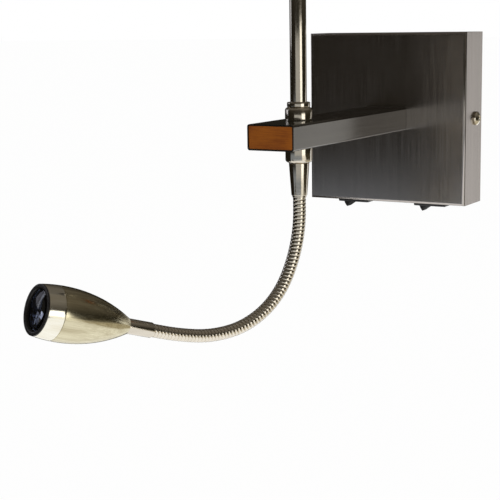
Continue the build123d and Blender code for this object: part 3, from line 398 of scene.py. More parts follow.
lower_round = [(low + back, radius - inset) for back, inset in reversed(COLLAR_ROUND)]
on_stem("lower_collar", "collar_below_arm",
        [(low, ROD_BORE)] + lower_round + [(high, radius), (high, ROD_BORE)], turned_nickel, COLLAR_EDGE)

BRASS_LINES = (500.0, 500.0, 900.0)
bright_brass = brushed("bright_brass", (0.56, 0.40, 0.16), (0.76, 0.59, 0.30), 0.24, BRASS_LINES, 0.1)
for hidden in ("stem_nipple", "top_nipple"):
    dressed(hidden, bright_brass)

# ---------------------------------------------------------------- flexible neck
# A steel wire of flattened round section, wound in touching turns on a core and plated nickel. It stays
# where it is bent. A turned cone holds its upper end, and a smooth sleeve joins the lower end to the head.
MM = 0.001
NECK_HEADING = math.radians(26.0)
NECK_ARCS = ((10.0, 0.0), (23.0, 12.0), (33.0, 17.0), (33.0, 28.0), (33.0, 26.0), (33.0, 17.5), (29.0, 6.5))
NECK_LENGTH = 204.0
FLEX_SPACING = 33.0
SLEEVE_LENGTH = 21.5
HOSE_LAP = 4.0
cone_low, cone_high, cone_radius = span("neck_ferrule")
neck_forward = Vector((-math.sin(NECK_HEADING), -math.cos(NECK_HEADING), 0))
neck_side = Vector((-math.cos(NECK_HEADING), math.sin(NECK_HEADING), 0))


def neck_course(distance):
    """Place and heading of the neck's middle line at a distance in millimetres down it."""
    reach, drop, angle, walked = 0.0, 0.0, 0.0, 0.0
    for length, bend in NECK_ARCS:
        step = min(max(distance - walked, 0.0), length)
        turn = math.radians(bend) * step / length
        if turn:
            radius = length / math.radians(bend)
            reach += radius * (math.cos(angle) - math.cos(angle + turn))
            drop += radius * (math.sin(angle + turn) - math.sin(angle))
        else:
            reach += step * math.sin(angle)
            drop += step * math.cos(angle)
        angle += turn
        walked += length
    beyond = max(distance - walked, 0.0) + min(distance, 0.0)
    reach += beyond * math.sin(angle)
    drop += beyond * math.cos(angle)
    place = stem_axis + neck_forward * reach * MM + UP * (cone_low - drop * MM)
    return place, neck_forward * math.sin(angle) - UP * math.cos(angle)


WIRE_MARKS = (900.0, 900.0, 900.0)
neck_steel = brushed("neck_steel", (0.74, 0.680, 0.570), (0.86, 0.800, 0.690), 0.13, WIRE_MARKS, 0.08)

winding = bpy.data.node_groups.new("wound_wire", "GeometryNodeTree")
winding.interface.new_socket("Middle Line", in_out="INPUT", socket_type="NodeSocketGeometry")
for label in ("Start", "Length", "Pitch", "Crest Radius", "Wire Half Width", "Wire Half Depth"):
    winding.interface.new_socket(label, in_out="INPUT", socket_type="NodeSocketFloat")
for label in ("Steps", "Section Points"):
    winding.interface.new_socket(label, in_out="INPUT", socket_type="NodeSocketInt")
winding.interface.new_socket("Finish", in_out="INPUT", socket_type="NodeSocketMaterial")
winding.interface.new_socket("Wire", in_out="OUTPUT", socket_type="NodeSocketGeometry")

coil = Tree(winding)
given = {
    item.name: coil.node("NodeGroupInput", out=item.name)
    for item in winding.interface.items_tree if item.in_out == "INPUT"
}


def stored(tree, shape, name, value):
    return tree.node("GeometryNodeStoreNamedAttribute", {"data_type": "FLOAT", "domain": "POINT"},
                     {"Geometry": shape, "Name": name, "Value": value})


def recalled(tree, name):
    return tree.node("GeometryNodeInputNamedAttribute", {"data_type": "FLOAT"}, {"Name": name})


straight_end = coil.node("ShaderNodeCombineXYZ", {}, {"Z": given["Length"]})
straight = coil.node("GeometryNodeCurvePrimitiveLine", {}, {"End": straight_end})
straight = coil.node("GeometryNodeResampleCurve", {}, {"Curve": straight, "Count": given["Steps"]})
walked = coil.node("GeometryNodeSplineParameter", out="Length")
straight = stored(coil, straight, "walked", walked)
section = coil.node("GeometryNodeCurvePrimitiveCircle", {},
                    {"Resolution": given["Section Points"], "Radius": 1.0})
section_place = coil.node("GeometryNodeInputPosition")
section = stored(coil, section, "shift", coil.node("ShaderNodeSeparateXYZ", {}, {0: section_place}, out="X"))
crest = coil.node("ShaderNodeSeparateXYZ", {}, {0: section_place}, out="Y")
section = stored(coil, section, "rise", crest * (2.0 - crest.maths("ABSOLUTE", crest)))
wire = coil.node("GeometryNodeCurveToMesh", {},
                 {"Curve": straight, "Profile Curve": section, "Fill Caps": True})
wound = recalled(coil, "walked") + given["Start"]
turn_angle = wound / given["Pitch"] * math.tau
middle_at = wound + recalled(coil, "shift") * given["Wire Half Width"]
sample = coil.node("GeometryNodeSampleCurve", {"mode": "LENGTH"},
                   {"Curves": given["Middle Line"], "Length": middle_at}, out="Position")
sampler = sample.socket.node
heading = Wire(coil, sampler.outputs["Tangent"])
normal = Wire(coil, sampler.outputs["Normal"])
other = coil.node("ShaderNodeVectorMath", {"operation": "CROSS_PRODUCT"}, {0: heading, 1: normal})
cosine = turn_angle.maths("COSINE", turn_angle)
sine = turn_angle.maths("SINE", turn_angle)
first_part = coil.node("ShaderNodeVectorMath", {"operation": "SCALE"}, {0: normal, "Scale": cosine})
second_part = coil.node("ShaderNodeVectorMath", {"operation": "SCALE"}, {0: other, "Scale": sine})
radial = coil.node("ShaderNodeVectorMath", {"operation": "ADD"}, {0: first_part, 1: second_part})
out_by = given["Crest Radius"] - given["Wire Half Depth"] + recalled(coil, "rise") * given["Wire Half Depth"]
offset = coil.node("ShaderNodeVectorMath", {"operation": "SCALE"}, {0: radial, "Scale": out_by})
place = coil.node("ShaderNodeVectorMath", {"operation": "ADD"}, {0: sample, 1: offset})
wire = coil.node("GeometryNodeSetPosition", {}, {"Geometry": wire, "Position": place})
for spent in ("walked", "shift", "rise"):
    wire = coil.node("GeometryNodeRemoveAttribute", {}, {"Geometry": wire, "Name": spent})
wire = coil.node("GeometryNodeSetShadeSmooth", {}, {"Geometry": wire})
wire = coil.node("GeometryNodeRealizeInstances", {}, {"Geometry": wire})
wire = coil.node("GeometryNodeSetMaterial", {}, {"Geometry": wire, "Material": given["Finish"]})
coil.node("NodeGroupOutput", {}, {"Wire": wire})


def line_through(name, points):
    """A plain curve object through some points, for a wire to be wound on."""
    course = bpy.data.curves.new(name, "CURVE")
    course.dimensions = "3D"
    run = course.splines.new("POLY")
    run.points.add(len(points) - 1)
    for point, place in zip(run.points, points):
        point.co = (*place, 1.0)
    made = bpy.data.objects.new(name, course)
    bpy.context.scene.collection.objects.link(made)
    return made


def wound_on(name, points, settings):
    """Winds a wire on a middle line and returns it as a plain mesh object."""
    line = line_through(name + "_line", points)
    modifier = line.modifiers.new("winding", "NODES")
    modifier.node_group = winding
    for item in winding.interface.items_tree:
        if item.name in settings:
            modifier[item.identifier] = settings[item.name]
    mesh = bpy.data.meshes.new_from_object(line.evaluated_get(bpy.context.evaluated_depsgraph_get()))
    mesh.name = name
    shape = bmesh.new()
    shape.from_mesh(mesh)
    bmesh.ops.recalc_face_normals(shape, faces=shape.faces)
    shape.to_mesh(mesh)
    shape.free()
    bpy.data.objects.remove(line)
    piece = bpy.data.objects.new(name, mesh)
    bpy.context.scene.collection.objects.link(piece)
    return piece


WIRE_STEPS_PER_TURN = 28
WIRE_SECTION_POINTS = 12
WIRE_PITCH = 3.0
WIRE_HALF_WIDTH = 1.54
WIRE_HALF_DEPTH = 0.55
HOSE_RADIUS = 5.1
neck_line = [neck_course(-HOSE_LAP * 3 + step)[0] for step in range(int(NECK_LENGTH + HOSE_LAP * 6) + 1)]
chain = ["neck_base", "neck_1", "neck_2", "neck_3", "neck_4", "neck_5", "head"]
for i in range(len(chain) - 1):
    begin = FLEX_SPACING * i if i else -HOSE_LAP
    finish_at = FLEX_SPACING * (i + 1) if i < len(chain) - 2 else NECK_LENGTH + HOSE_LAP
    hose = wound_on(f"neck_hose_wire_{i}", neck_line, {
        "Start": (begin + HOSE_LAP * 3) * MM,
        "Length": (finish_at - begin) * MM,
        "Pitch": WIRE_PITCH * MM,
        "Crest Radius": HOSE_RADIUS * MM,
        "Wire Half Width": WIRE_HALF_WIDTH * MM,
        "Wire Half Depth": WIRE_HALF_DEPTH * MM,
        "Steps": round((finish_at - begin) / WIRE_PITCH * WIRE_STEPS_PER_TURN) + 1,
        "Section Points": WIRE_SECTION_POINTS,
        "Finish": neck_steel,
    })
    neck_course(FLEX_SPACING * i)[0]
    neck_course(min(FLEX_SPACING * (i + 1), NECK_LENGTH))[0]
    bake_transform(hose)
    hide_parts(f"neck_hose_{i}", f"neck_hose_{i + 1}")

CONE_BORE = 0.0041
CONE_LIP_RADIUS = 0.0056
CONE_LIP_HEIGHT = 0.0016
CONE_FOOT_RADIUS = 0.0063
cone_thread_end = cone_high - 0.0126
on_stem("neck_ferrule", "neck_cone", [
    (cone_low, CONE_BORE), (cone_low, CONE_LIP_RADIUS), (cone_low + CONE_LIP_HEIGHT, CONE_LIP_RADIUS),
    (cone_low + CONE_LIP_HEIGHT, CONE_FOOT_RADIUS), (cone_high, cone_radius), (cone_high, ROD_BORE),
    (cone_thread_end, ROD_BORE), (cone_thread_end, CONE_BORE),
], turned_nickel, COLLAR_EDGE)

SLEEVE_RADIUS = 0.0058
SLEEVE_BORE = 0.0026
SPIGOT_RADIUS = 0.0040
SPIGOT_LENGTH = 8.0
sleeve_end, spigot_end = SLEEVE_LENGTH * MM, (SLEEVE_LENGTH + SPIGOT_LENGTH) * MM
sleeve_origin, head_forward = neck_course(NECK_LENGTH)
head_turn = Matrix((neck_side, head_forward.cross(neck_side), head_forward)).to_euler("XYZ")
stand_for(turned("neck_to_head_sleeve", [
    (0.0, SLEEVE_BORE), (0.0, SLEEVE_RADIUS), (sleeve_end, SLEEVE_RADIUS), (sleeve_end, SPIGOT_RADIUS),
    (spigot_end, SPIGOT_RADIUS), (spigot_end, SLEEVE_BORE),
], sleeve_origin, head_forward, neck_side, turned_nickel, COLLAR_EDGE), "neck_sleeve")

lead_grey = Finish("lead_sheath")
lead_mark = lead_grey.noise(lead_grey.place((300.0, 300.0, 300.0)), detail=3.0)
lead_sheath = lead_grey.end(
    Base_Color=lead_grey.mix(lead_grey.spread(lead_mark, 0.35, 0.65), (0.62, 0.61, 0.58), (0.74, 0.73, 0.70)),
    Roughness=lead_grey.gloss(lead_mark, 0.45, 0.6),
    height=lead_mark,
    strength=0.15,
)
for hidden in [f"neck_lead_{i}" for i in range(7)] + ["led_lead", "lamp_lead"]:
    dressed(hidden, lead_sheath)

# ---------------------------------------------------------------- reading head
# A bullet-shaped shell and a short front bezel, both turned from aluminium, brushed along the shell's
# length and plated champagne nickel; the bezel's plating is coloured far paler than the shell's, as a painted
# highlight. A black ring in the bezel's mouth holds a domed clear lens.
HEAD_LENGTH = 74.6
HEAD_MAX_AT = 55.0
HEAD_MAX_RADIUS = 20.3
HEAD_TAIL_RADIUS = 6.3
BEZEL_AT = 61.0
RING_AT = 73.6
SEAM_HALF = 0.12
SEAM_DEPTH = 0.5
JOINT_GAP = 0.02
SHELL_WALL = 1.6
TAIL_SOLID = 8.0
TAIL_BORE = 4.05
BEZEL_BORE = 17.0
BEZEL_TONGUE = 53.0
TONGUE_PLAY = 0.1
head_rise = HEAD_MAX_RADIUS - HEAD_TAIL_RADIUS
head_arc_radius = (HEAD_MAX_AT**2 + head_rise**2) / (2 * head_rise)
head_origin = neck_course(NECK_LENGTH + SLEEVE_LENGTH)[0]


def head_radius(along, inset=0.0):
    radius = head_arc_radius - inset
    return HEAD_MAX_RADIUS - head_arc_radius + math.sqrt(radius**2 - (along - HEAD_MAX_AT) ** 2)


def head_run(first, last, steps=14, inset=0.0):
    """Points of the head's long arc, in millimetres."""
    places = [first + (last - first) * i / steps for i in range(steps + 1)]
    return [(at, head_radius(at, inset)) for at in places]


def on_head(node, name, profile, material, edge=0.3):
    """Turns a piece about the head's axis from a profile in millimetres."""
    metres = [(height * MM, radius * MM) for height, radius in profile]
    piece = turned(name, metres, head_origin, head_forward, neck_side, material, edge * MM)
    stand_for(piece, node)
    return piece


HEAD_LINES = (1300.0, 1300.0, 26.0)
HEAD_BANDS = (260.0, 260.0, 9.0)
HEAD_PATINA = (30.0, 30.0, 30.0)


def champagne(name, dark, light, roughness):
    """Plating with lines along the head, wider bands of tone, and a slow patina."""
    finish = Finish(name)
    lines = finish.noise(finish.place(HEAD_LINES, head_turn, tuple(head_origin)), detail=6.0)
    bands = finish.noise(finish.place(HEAD_BANDS, head_turn, tuple(head_origin)), detail=3.0)
    patina = finish.noise(finish.place(HEAD_PATINA), detail=3.0)
    tone = finish.spread(lines * 0.35 + bands * 0.45 + patina * 0.2, 0.36, 0.64)
    return finish.end(
        Base_Color=finish.mix(tone, dark, light),
        Metallic=1.0,
        Roughness=finish.gloss(lines, roughness - 0.04, roughness + 0.05),
        height=lines,
        strength=0.08,
        depth=0.00005,
    )


barrel_nickel = champagne("barrel_nickel", (0.50, 0.438, 0.285), (0.82, 0.765, 0.550), 0.19)
# the bezel: the barrel's plating made nearly white, a painted highlight
bezel_nickel_painted_highlight = champagne("bezel_nickel_painted_highlight", (0.86, 0.81, 0.66), (0.98, 0.96, 0.86), 0.13)
seam_radius = head_radius(BEZEL_AT) - SEAM_DEPTH
tongue_radius = head_radius(BEZEL_AT, SHELL_WALL) - TONGUE_PLAY
on_head("head_shell", "head_barrel",
        head_run(0.0, BEZEL_AT - SEAM_HALF)
        + [(BEZEL_AT - SEAM_HALF, seam_radius), (BEZEL_AT - JOINT_GAP, seam_radius)]
        + head_run(BEZEL_AT - JOINT_GAP, TAIL_SOLID, inset=SHELL_WALL)
        + [(TAIL_SOLID, TAIL_BORE), (0.0, TAIL_BORE)], barrel_nickel)
on_head("head_bezel", "head_front_bezel",
        [(BEZEL_AT + JOINT_GAP, seam_radius), (BEZEL_AT + SEAM_HALF, seam_radius)]
        + head_run(BEZEL_AT + SEAM_HALF, RING_AT, 8)
        + [(RING_AT, BEZEL_BORE), (BEZEL_TONGUE, BEZEL_BORE), (BEZEL_TONGUE, tongue_radius),
           (BEZEL_AT + JOINT_GAP, tongue_radius)], bezel_nickel_painted_highlight)

black_anodised = flecked("black_anodised", 900.0, (0.010, 0.009, 0.008), (0.022, 0.020, 0.018), 0.24, 0.36,
                         detail=4.0, bump=0.1, Metallic=0.4)
LENS_BACK = 69.7
LENS_FRONT = 71.7
LENS_RADIUS = 16.0
LENS_PLAY = 0.1
RING_MOUTH = 15.4
RING_BEVEL = 0.6
RING_GAP = 0.05
ring_back = RING_AT + RING_GAP
skirt_radius = BEZEL_BORE - LENS_PLAY
on_head("front_ring", "lens_ring",
        head_run(ring_back, HEAD_LENGTH, 3)
        + [(HEAD_LENGTH, RING_MOUTH + RING_BEVEL), (HEAD_LENGTH - RING_BEVEL, RING_MOUTH),
           (LENS_FRONT + LENS_PLAY, RING_MOUTH), (LENS_FRONT + LENS_PLAY, LENS_RADIUS + LENS_PLAY),
           (LENS_BACK - LENS_PLAY, LENS_RADIUS + LENS_PLAY), (LENS_BACK - LENS_PLAY, skirt_radius),
           (ring_back, skirt_radius)], black_anodised, edge=0.4)

lens_finish = Finish("lens_clear")
lens_haze = lens_finish.noise(lens_finish.place((120.0, 120.0, 120.0)), detail=3.0)
lens_clear = lens_finish.end(
    Base_Color=(0.62, 0.68, 0.80),
    Specular_IOR_Level=0.5,
    Roughness=lens_finish.gloss(lens_haze, 0.01, 0.05),
    IOR=1.5,
    Transmission_Weight=1.0,
)
LENS_STEPS = 12
LENS_RISE = 2.6
DOME_REACH = 15.2
lens_dome = (DOME_REACH**2 + LENS_RISE**2) / (2 * LENS_RISE)
dome_points = []
for i in range(LENS_STEPS + 1):
    reach = DOME_REACH * (1 - i / LENS_STEPS)
    dome_points.append((LENS_FRONT + LENS_RISE - lens_dome + math.sqrt(lens_dome**2 - reach**2), reach))
lens_back_face = [(LENS_BACK, 0.0), (LENS_BACK, LENS_RADIUS), (LENS_FRONT, LENS_RADIUS)]
on_head("lens", "lens_dome", lens_back_face + dome_points, lens_clear, edge=0.2)

reflector_metal = flecked("reflector_metal", 240.0, (0.16, 0.165, 0.19), (0.42, 0.43, 0.49), 0.16, 0.30,
                          detail=1.0, bump=0.25, depth=0.0003, Metallic=1.0)
BOWL_RIM = LENS_BACK - LENS_PLAY
BOWL_WALL = 1.0
# the bowl's inside: how far from its rim, and its radius there
BOWL = [(-19.0, 5.5), (-17.5, 7.6), (-15.0, 9.5), (-11.4, 10.9), (-7.5, 12.1), (-3.7, 13.1), (0.0, 14.0)]
bowl_inside = [(BOWL_RIM + height, radius) for height, radius in BOWL]
on_head("reflector", "reflector_bowl",
        bowl_inside
        + [(BOWL_RIM, LENS_RADIUS), (BOWL_RIM - BOWL_WALL, LENS_RADIUS),
           (BOWL_RIM - BOWL_WALL, bowl_inside[-1][1] + BOWL_WALL)]
        + [(height, radius + BOWL_WALL) for height, radius in reversed(bowl_inside[:-1])],
        reflector_metal, edge=0.1)

BARE_MARKS = (300.0, 300.0, 300.0)
bare = brushed("bare_aluminium", (0.66, 0.66, 0.67), (0.80, 0.80, 0.81), 0.34, BARE_MARKS)
dressed("heat_sink", bare)
dressed("led_board", flecked("board_lacquer", 500.0, (0.72, 0.73, 0.72), (0.84, 0.85, 0.84), 0.35, 0.5))
dressed("led_chip", flecked("phosphor", 900.0, (0.70, 0.52, 0.10), (0.86, 0.70, 0.20), 0.4, 0.6))
dressed("board_screws", zinc)

# ---------------------------------------------------------------- rocker switches
# Two black moulded rocker switches, pressed up into the tray's underside until their barbs catch. Each
# rocker turns on two small pegs in its housing, and both are tipped the same way.
moulding = Finish("switch_moulding")
grain = moulding.noise(moulding.place((1600.0, 1600.0, 1600.0)), detail=4.0)
wear = moulding.noise(moulding.place((70.0, 70.0, 70.0)), detail=3.0)
switch_moulding = moulding.end(
    Base_Color=moulding.mix(wear, (0.012, 0.012, 0.012), (0.026, 0.026, 0.027)),
    Roughness=moulding.spread(grain * 0.5 + wear * 0.5, 0.35, 0.65, 0.30, 0.48),
    height=grain,
    strength=0.2,
    depth=0.00004,
)
for side in ("left", "right"):
    smoothed(f"switch_body_{side}", f"switch_housing_{side}", switch_moulding)
    smoothed(f"rocker_{side}", f"switch_rocker_{side}", switch_moulding)
dressed("switch_blades", bright_brass)

# ---------------------------------------------------------------- inside the box
# A moulded driver for the reading light, a terminal block for the mains and an earth stud, all on the
# bracket behind the tray. None of them shows while the tray is on.
white_moulding = flecked("white_moulding", 500.0, (0.74, 0.74, 0.72), (0.84, 0.84, 0.82), 0.4, 0.55,
                         detail=4.0, bump=0.1)
for hidden in ("led_driver", "terminal_block"):
    dressed(hidden, white_moulding)
for hidden in ("driver_screws", "terminal_screws", "earth_stud"):
    dressed(hidden, zinc)

# ---------------------------------------------------------------- upper lampholder
# A nickel-plated cup screwed on the stem carries a black moulded holder for a screw-cap bulb. Its outer
# thread has two black rings that clamp a shade, and inside are a porcelain seat and a brass screw shell.
cup_low, cup_high, cup_radius = span("lampholder_cap")
CUP_WALL = 0.0012
CUP_NECK_HEIGHT = 0.0038
CUP_NECK_RADIUS = 0.009
CUP_FLOOR = 0.005
CUP_SHOULDER = 0.0156
CUP_STEPS = 12
cup_rise = CUP_SHOULDER - CUP_NECK_HEIGHT
cup_spread = cup_radius - CUP_NECK_RADIUS
cup_bowl = []
for i in range(CUP_STEPS + 1):
    quarter = math.pi / 2 * i / CUP_STEPS
    height = CUP_NECK_HEIGHT + cup_rise * (1 - math.cos(quarter))
    cup_bowl.append((height, CUP_NECK_RADIUS + cup_spread * math.sin(quarter)))
cup_outer = [(cup_low, CUP_NECK_RADIUS)] + [(cup_low + height, reach) for height, reach in cup_bowl]
cup_inner = [(cup_low + height + CUP_WALL, reach - CUP_WALL) for height, reach in reversed(cup_bowl)]
on_stem("lampholder_cap", "holder_cup", cup_outer + [
    (cup_high, cup_radius), (cup_high, cup_radius - CUP_WALL), *cup_inner,
    (cup_low + CUP_FLOOR, ROD_BORE), (cup_low, ROD_BORE),
], turned_nickel, COLLAR_EDGE)

bakelite = Finish("holder_moulding")
bakelite_grain = bakelite.noise(bakelite.place((1200.0, 1200.0, 1200.0)), detail=4.0)
bakelite_cloud = bakelite.noise(bakelite.place((60.0, 60.0, 60.0)), detail=3.0)
holder_moulding = bakelite.end(
    Base_Color=bakelite.mix(bakelite_cloud, (0.014, 0.013, 0.012), (0.032, 0.030, 0.028)),
    Roughness=bakelite.gloss(bakelite_grain, 0.22, 0.36),
    height=bakelite_grain,
    strength=0.15,
    depth=0.00004,
)
holder_low, holder_high, holder_radius = span("lampholder_body")
HOLDER_WALL = 0.002
HOLDER_BORE = 0.005
HOLDER_EDGE = 0.0005
# the plain ends of the holder's side, and how far in the thread's root runs
PLAIN_BELOW, ROOT_FROM = 0.003, 0.0036
PLAIN_ABOVE, ROOT_TO = 0.0025, 0.003
THREAD_PITCH = 0.0025
THREAD_ROOT = 0.0007
THREAD_HALF = 0.0009
THREAD_INSET_LOW, THREAD_INSET_HIGH = 0.0045, 0.0035
THREAD_STEPS_PER_TURN = 64
AXIS_STEP = 0.0005
AXIS_POINTS = 80
root_radius, bore_radius = holder_radius - THREAD_ROOT, holder_radius - HOLDER_WALL
on_stem("lampholder_body", "holder_mantle", [
    (holder_low, HOLDER_BORE), (holder_low, holder_radius), (cup_high + PLAIN_BELOW, holder_radius),
    (cup_high + ROOT_FROM, root_radius), (holder_high - ROOT_TO, root_radius),
    (holder_high - PLAIN_ABOVE, holder_radius), (holder_high, holder_radius), (holder_high, bore_radius),
    (holder_low + HOLDER_WALL, bore_radius), (holder_low + HOLDER_WALL, HOLDER_BORE),
], holder_moulding, HOLDER_EDGE)
thread_low, thread_high = cup_high + THREAD_INSET_LOW, holder_high - THREAD_INSET_HIGH
thread_axis = [stem_axis + UP * (cup_high + AXIS_STEP * step) for step in range(AXIS_POINTS)]
thread = wound_on("holder_thread", thread_axis, {
    "Start": thread_low - cup_high,
    "Length": thread_high - thread_low,
    "Pitch": THREAD_PITCH,
    "Crest Radius": holder_radius,
    "Wire Half Width": THREAD_HALF,
    "Wire Half Depth": THREAD_HALF,
    "Steps": round((thread_high - thread_low) / THREAD_PITCH * THREAD_STEPS_PER_TURN),
    "Section Points": 8,
    "Finish": holder_moulding,
})
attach(thread, "root")

rings_low, rings_high, rings_radius = span("shade_rings")
RING_HEIGHT = 0.004
RING_PLAY = 0.0001
SHADE_RING_EDGE = 0.0006
GRIP_COUNT = 60
GRIP_SIDES = 10
GRIP_HEIGHT = RING_HEIGHT - 0.0010
GRIP_RADIUS = 0.0008
GRIP_STANDS_OUT = 0.0006
knurl_tree = bpy.data.node_groups.new("ring_grips", "GeometryNodeTree")
knurl_tree.interface.new_socket("Ring", in_out="INPUT", socket_type="NodeSocketGeometry")
knurl_tree.interface.new_socket("Count", in_out="INPUT", socket_type="NodeSocketInt")
for label in ("Circle Radius", "Grip Height", "Grip Radius"):
    knurl_tree.interface.new_socket(label, in_out="INPUT", socket_type="NodeSocketFloat")
knurl_tree.interface.new_socket("Finish", in_out="INPUT", socket_type="NodeSocketMaterial")
knurl_tree.interface.new_socket("Gripped", in_out="OUTPUT", socket_type="NodeSocketGeometry")
grips = Tree(knurl_tree)
asked = {
    item.name: grips.node("NodeGroupInput", out=item.name)
    for item in knurl_tree.interface.items_tree if item.in_out == "INPUT"
}
grip_circle = grips.node("GeometryNodeMeshCircle", {},
                         {"Vertices": asked["Count"], "Radius": asked["Circle Radius"]})
grip = grips.node("GeometryNodeMeshCylinder", {},
                  {"Vertices": GRIP_SIDES, "Radius": asked["Grip Radius"], "Depth": asked["Grip Height"]})
around = grips.node("GeometryNodeInstanceOnPoints", {}, {"Points": grip_circle, "Instance": grip})
around = grips.node("GeometryNodeTranslateInstances", {},
                    {"Instances": around, "Translation": tuple(stem_axis)})
lower_row = grips.node("GeometryNodeTranslateInstances", {}, {
    "Instances": around, "Translation": (0.0, 0.0, rings_low + RING_HEIGHT / 2)})
upper_row = grips.node("GeometryNodeTranslateInstances", {}, {
    "Instances": around, "Translation": (0.0, 0.0, rings_high - RING_HEIGHT / 2)})
joined = grips.node("GeometryNodeJoinGeometry", {}, {0: lower_row})
grips.nodes.links.new(upper_row.socket, joined.socket.node.inputs[0])
joined = grips.node("GeometryNodeRealizeInstances", {}, {"Geometry": joined})
joined = grips.node("GeometryNodeSetMaterial", {}, {"Geometry": joined, "Material": asked["Finish"]})
grips.node("NodeGroupOutput", {}, {"Gripped": joined})


def gripped(name, settings):
    """Grips round a ring's edge, as a plain mesh object."""
    base = bpy.data.objects.new(name, bpy.data.meshes.new(name))
    bpy.context.scene.collection.objects.link(base)
    modifier = base.modifiers.new("grips", "NODES")
    modifier.node_group = knurl_tree
    for item in knurl_tree.interface.items_tree:
        if item.name in settings:
            modifier[item.identifier] = settings[item.name]
    mesh = bpy.data.meshes.new_from_object(base.evaluated_get(bpy.context.evaluated_depsgraph_get()))
    base.modifiers.clear()
    base.data = mesh
    return base


ring_inside, ring_outside = holder_radius + RING_PLAY, rings_radius - GRIP_STANDS_OUT
for level, low in (("lower", rings_low), ("upper", rings_high - RING_HEIGHT)):
    ring = turned(f"shade_ring_{level}", [
        (low, ring_inside), (low, ring_outside), (low + RING_HEIGHT, ring_outside),
        (low + RING_HEIGHT, ring_inside),
    ], stem_axis, UP, ACROSS, holder_moulding, SHADE_RING_EDGE)
    stand_for(ring, "shade_rings")
knurl = gripped("shade_ring_grips", {
    "Count": GRIP_COUNT, "Circle Radius": rings_radius - GRIP_RADIUS, "Grip Height": GRIP_HEIGHT,
    "Grip Radius": GRIP_RADIUS, "Finish": holder_moulding,
})
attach(knurl, "root")

porcelain = flecked("porcelain_glaze", 140.0, (0.76, 0.75, 0.71), (0.85, 0.84, 0.81), 0.12, 0.22,
                    Coat_Weight=0.4)
smoothed("lampholder_insert", "porcelain_seat", porcelain)
shell_low, shell_high, shell_radius = span("lampholder_shell")
SHELL_PITCH = 0.0036
SHELL_BORE = 0.01345
SHELL_WAVE_DEPTH = 0.00035
SHELL_WAVE_STEPS = 8
SHELL_EDGE = 0.00001
shell_steps = int((shell_high - shell_low) / SHELL_PITCH * SHELL_WAVE_STEPS)
shell_wave = []
for i in range(shell_steps + 1):
    height = shell_low + (shell_high - shell_low) * i / shell_steps
    wave = 0.5 - 0.5 * math.cos(math.tau * i / SHELL_WAVE_STEPS)
    shell_wave.append((height, wave))
shell_profile = [(height, SHELL_BORE + SHELL_WAVE_DEPTH * wave) for height, wave in shell_wave]
shell_trough = shell_radius - SHELL_WAVE_DEPTH
shell_profile += [(height, shell_trough + SHELL_WAVE_DEPTH * wave) for height, wave in reversed(shell_wave)]
on_stem("lampholder_shell", "screw_shell", shell_profile, bright_brass, SHELL_EDGE)
smoothed("lampholder_contact", "centre_contact", bright_brass)

# ---------------------------------------------------------------- floor, light and camera
# A plain pale floor well below the lamp, soft even light, and dark studio cloth and cards hung round it,
# which only show as the dark and light in the metal's reflections.
FLOOR_DROP = 0.22
FLOOR_HALF = 30.0
FLOOR_CORNERS = ((-1, -1), (1, -1), (1, 1), (-1, 1))
FLOOR_OWN_WHITE = 0.95
floor_height = cad_box[0][2] - FLOOR_DROP
sheet = bmesh.new()
sheet.faces.new([sheet.verts.new((x * FLOOR_HALF, y * FLOOR_HALF, floor_height)) for x, y in FLOOR_CORNERS])
floor_mesh = bpy.data.meshes.new("floor")
sheet.to_mesh(floor_mesh)
sheet.free()
floor = bpy.data.objects.new("floor", floor_mesh)
bpy.context.scene.collection.objects.link(floor)


def seen_directly(tree):
    """1 for rays from the camera, off metal or through glass, which show the background, and else 0."""
    path = tree.node("ShaderNodeLightPath", out="Is Camera Ray")
    glossy = Wire(tree, path.socket.node.outputs["Is Glossy Ray"])
    through = Wire(tree, path.socket.node.outputs["Is Transmission Ray"])
    return path.maths("MAXIMUM", path, path.maths("MAXIMUM", glossy, through))


paper = Finish("pale_floor")
paper_grain = paper.noise(paper.place((60.0, 60.0, 60.0)), detail=2.0)
paper_tone = paper.mix(paper_grain, (0.86, 0.86, 0.86), (0.90, 0.90, 0.90))
lit = paper.node("ShaderNodeBsdfDiffuse", {}, {"Color": paper_tone})
glow = paper.node("ShaderNodeEmission", {}, {"Color": (1.0, 1.0, 1.0, 1.0), "Strength": 1.0})
shown = paper.node("ShaderNodeMixShader", {}, {0: seen_directly(paper) * FLOOR_OWN_WHITE, 1: lit, 2: glow})
paper.node("ShaderNodeOutputMaterial", {}, {"Surface": shown})
floor_mesh.materials.append(paper.material)

world = bpy.data.worlds.new("studio")
bpy.context.scene.world = world
world.use_nodes = True
sky = Tree(world.node_tree)
soft_light = sky.node("ShaderNodeBackground", {}, {"Color": (1.0, 0.99, 0.97, 1.0), "Strength": 0.85})
white_backdrop = sky.node("ShaderNodeBackground", {}, {"Color": (1.0, 1.0, 1.0, 1.0), "Strength": 1.0})
either = sky.node("ShaderNodeMixShader", {}, {0: seen_directly(sky), 1: soft_light, 2: white_backdrop})
sky.node("ShaderNodeOutputWorld", {}, {"Surface": either})


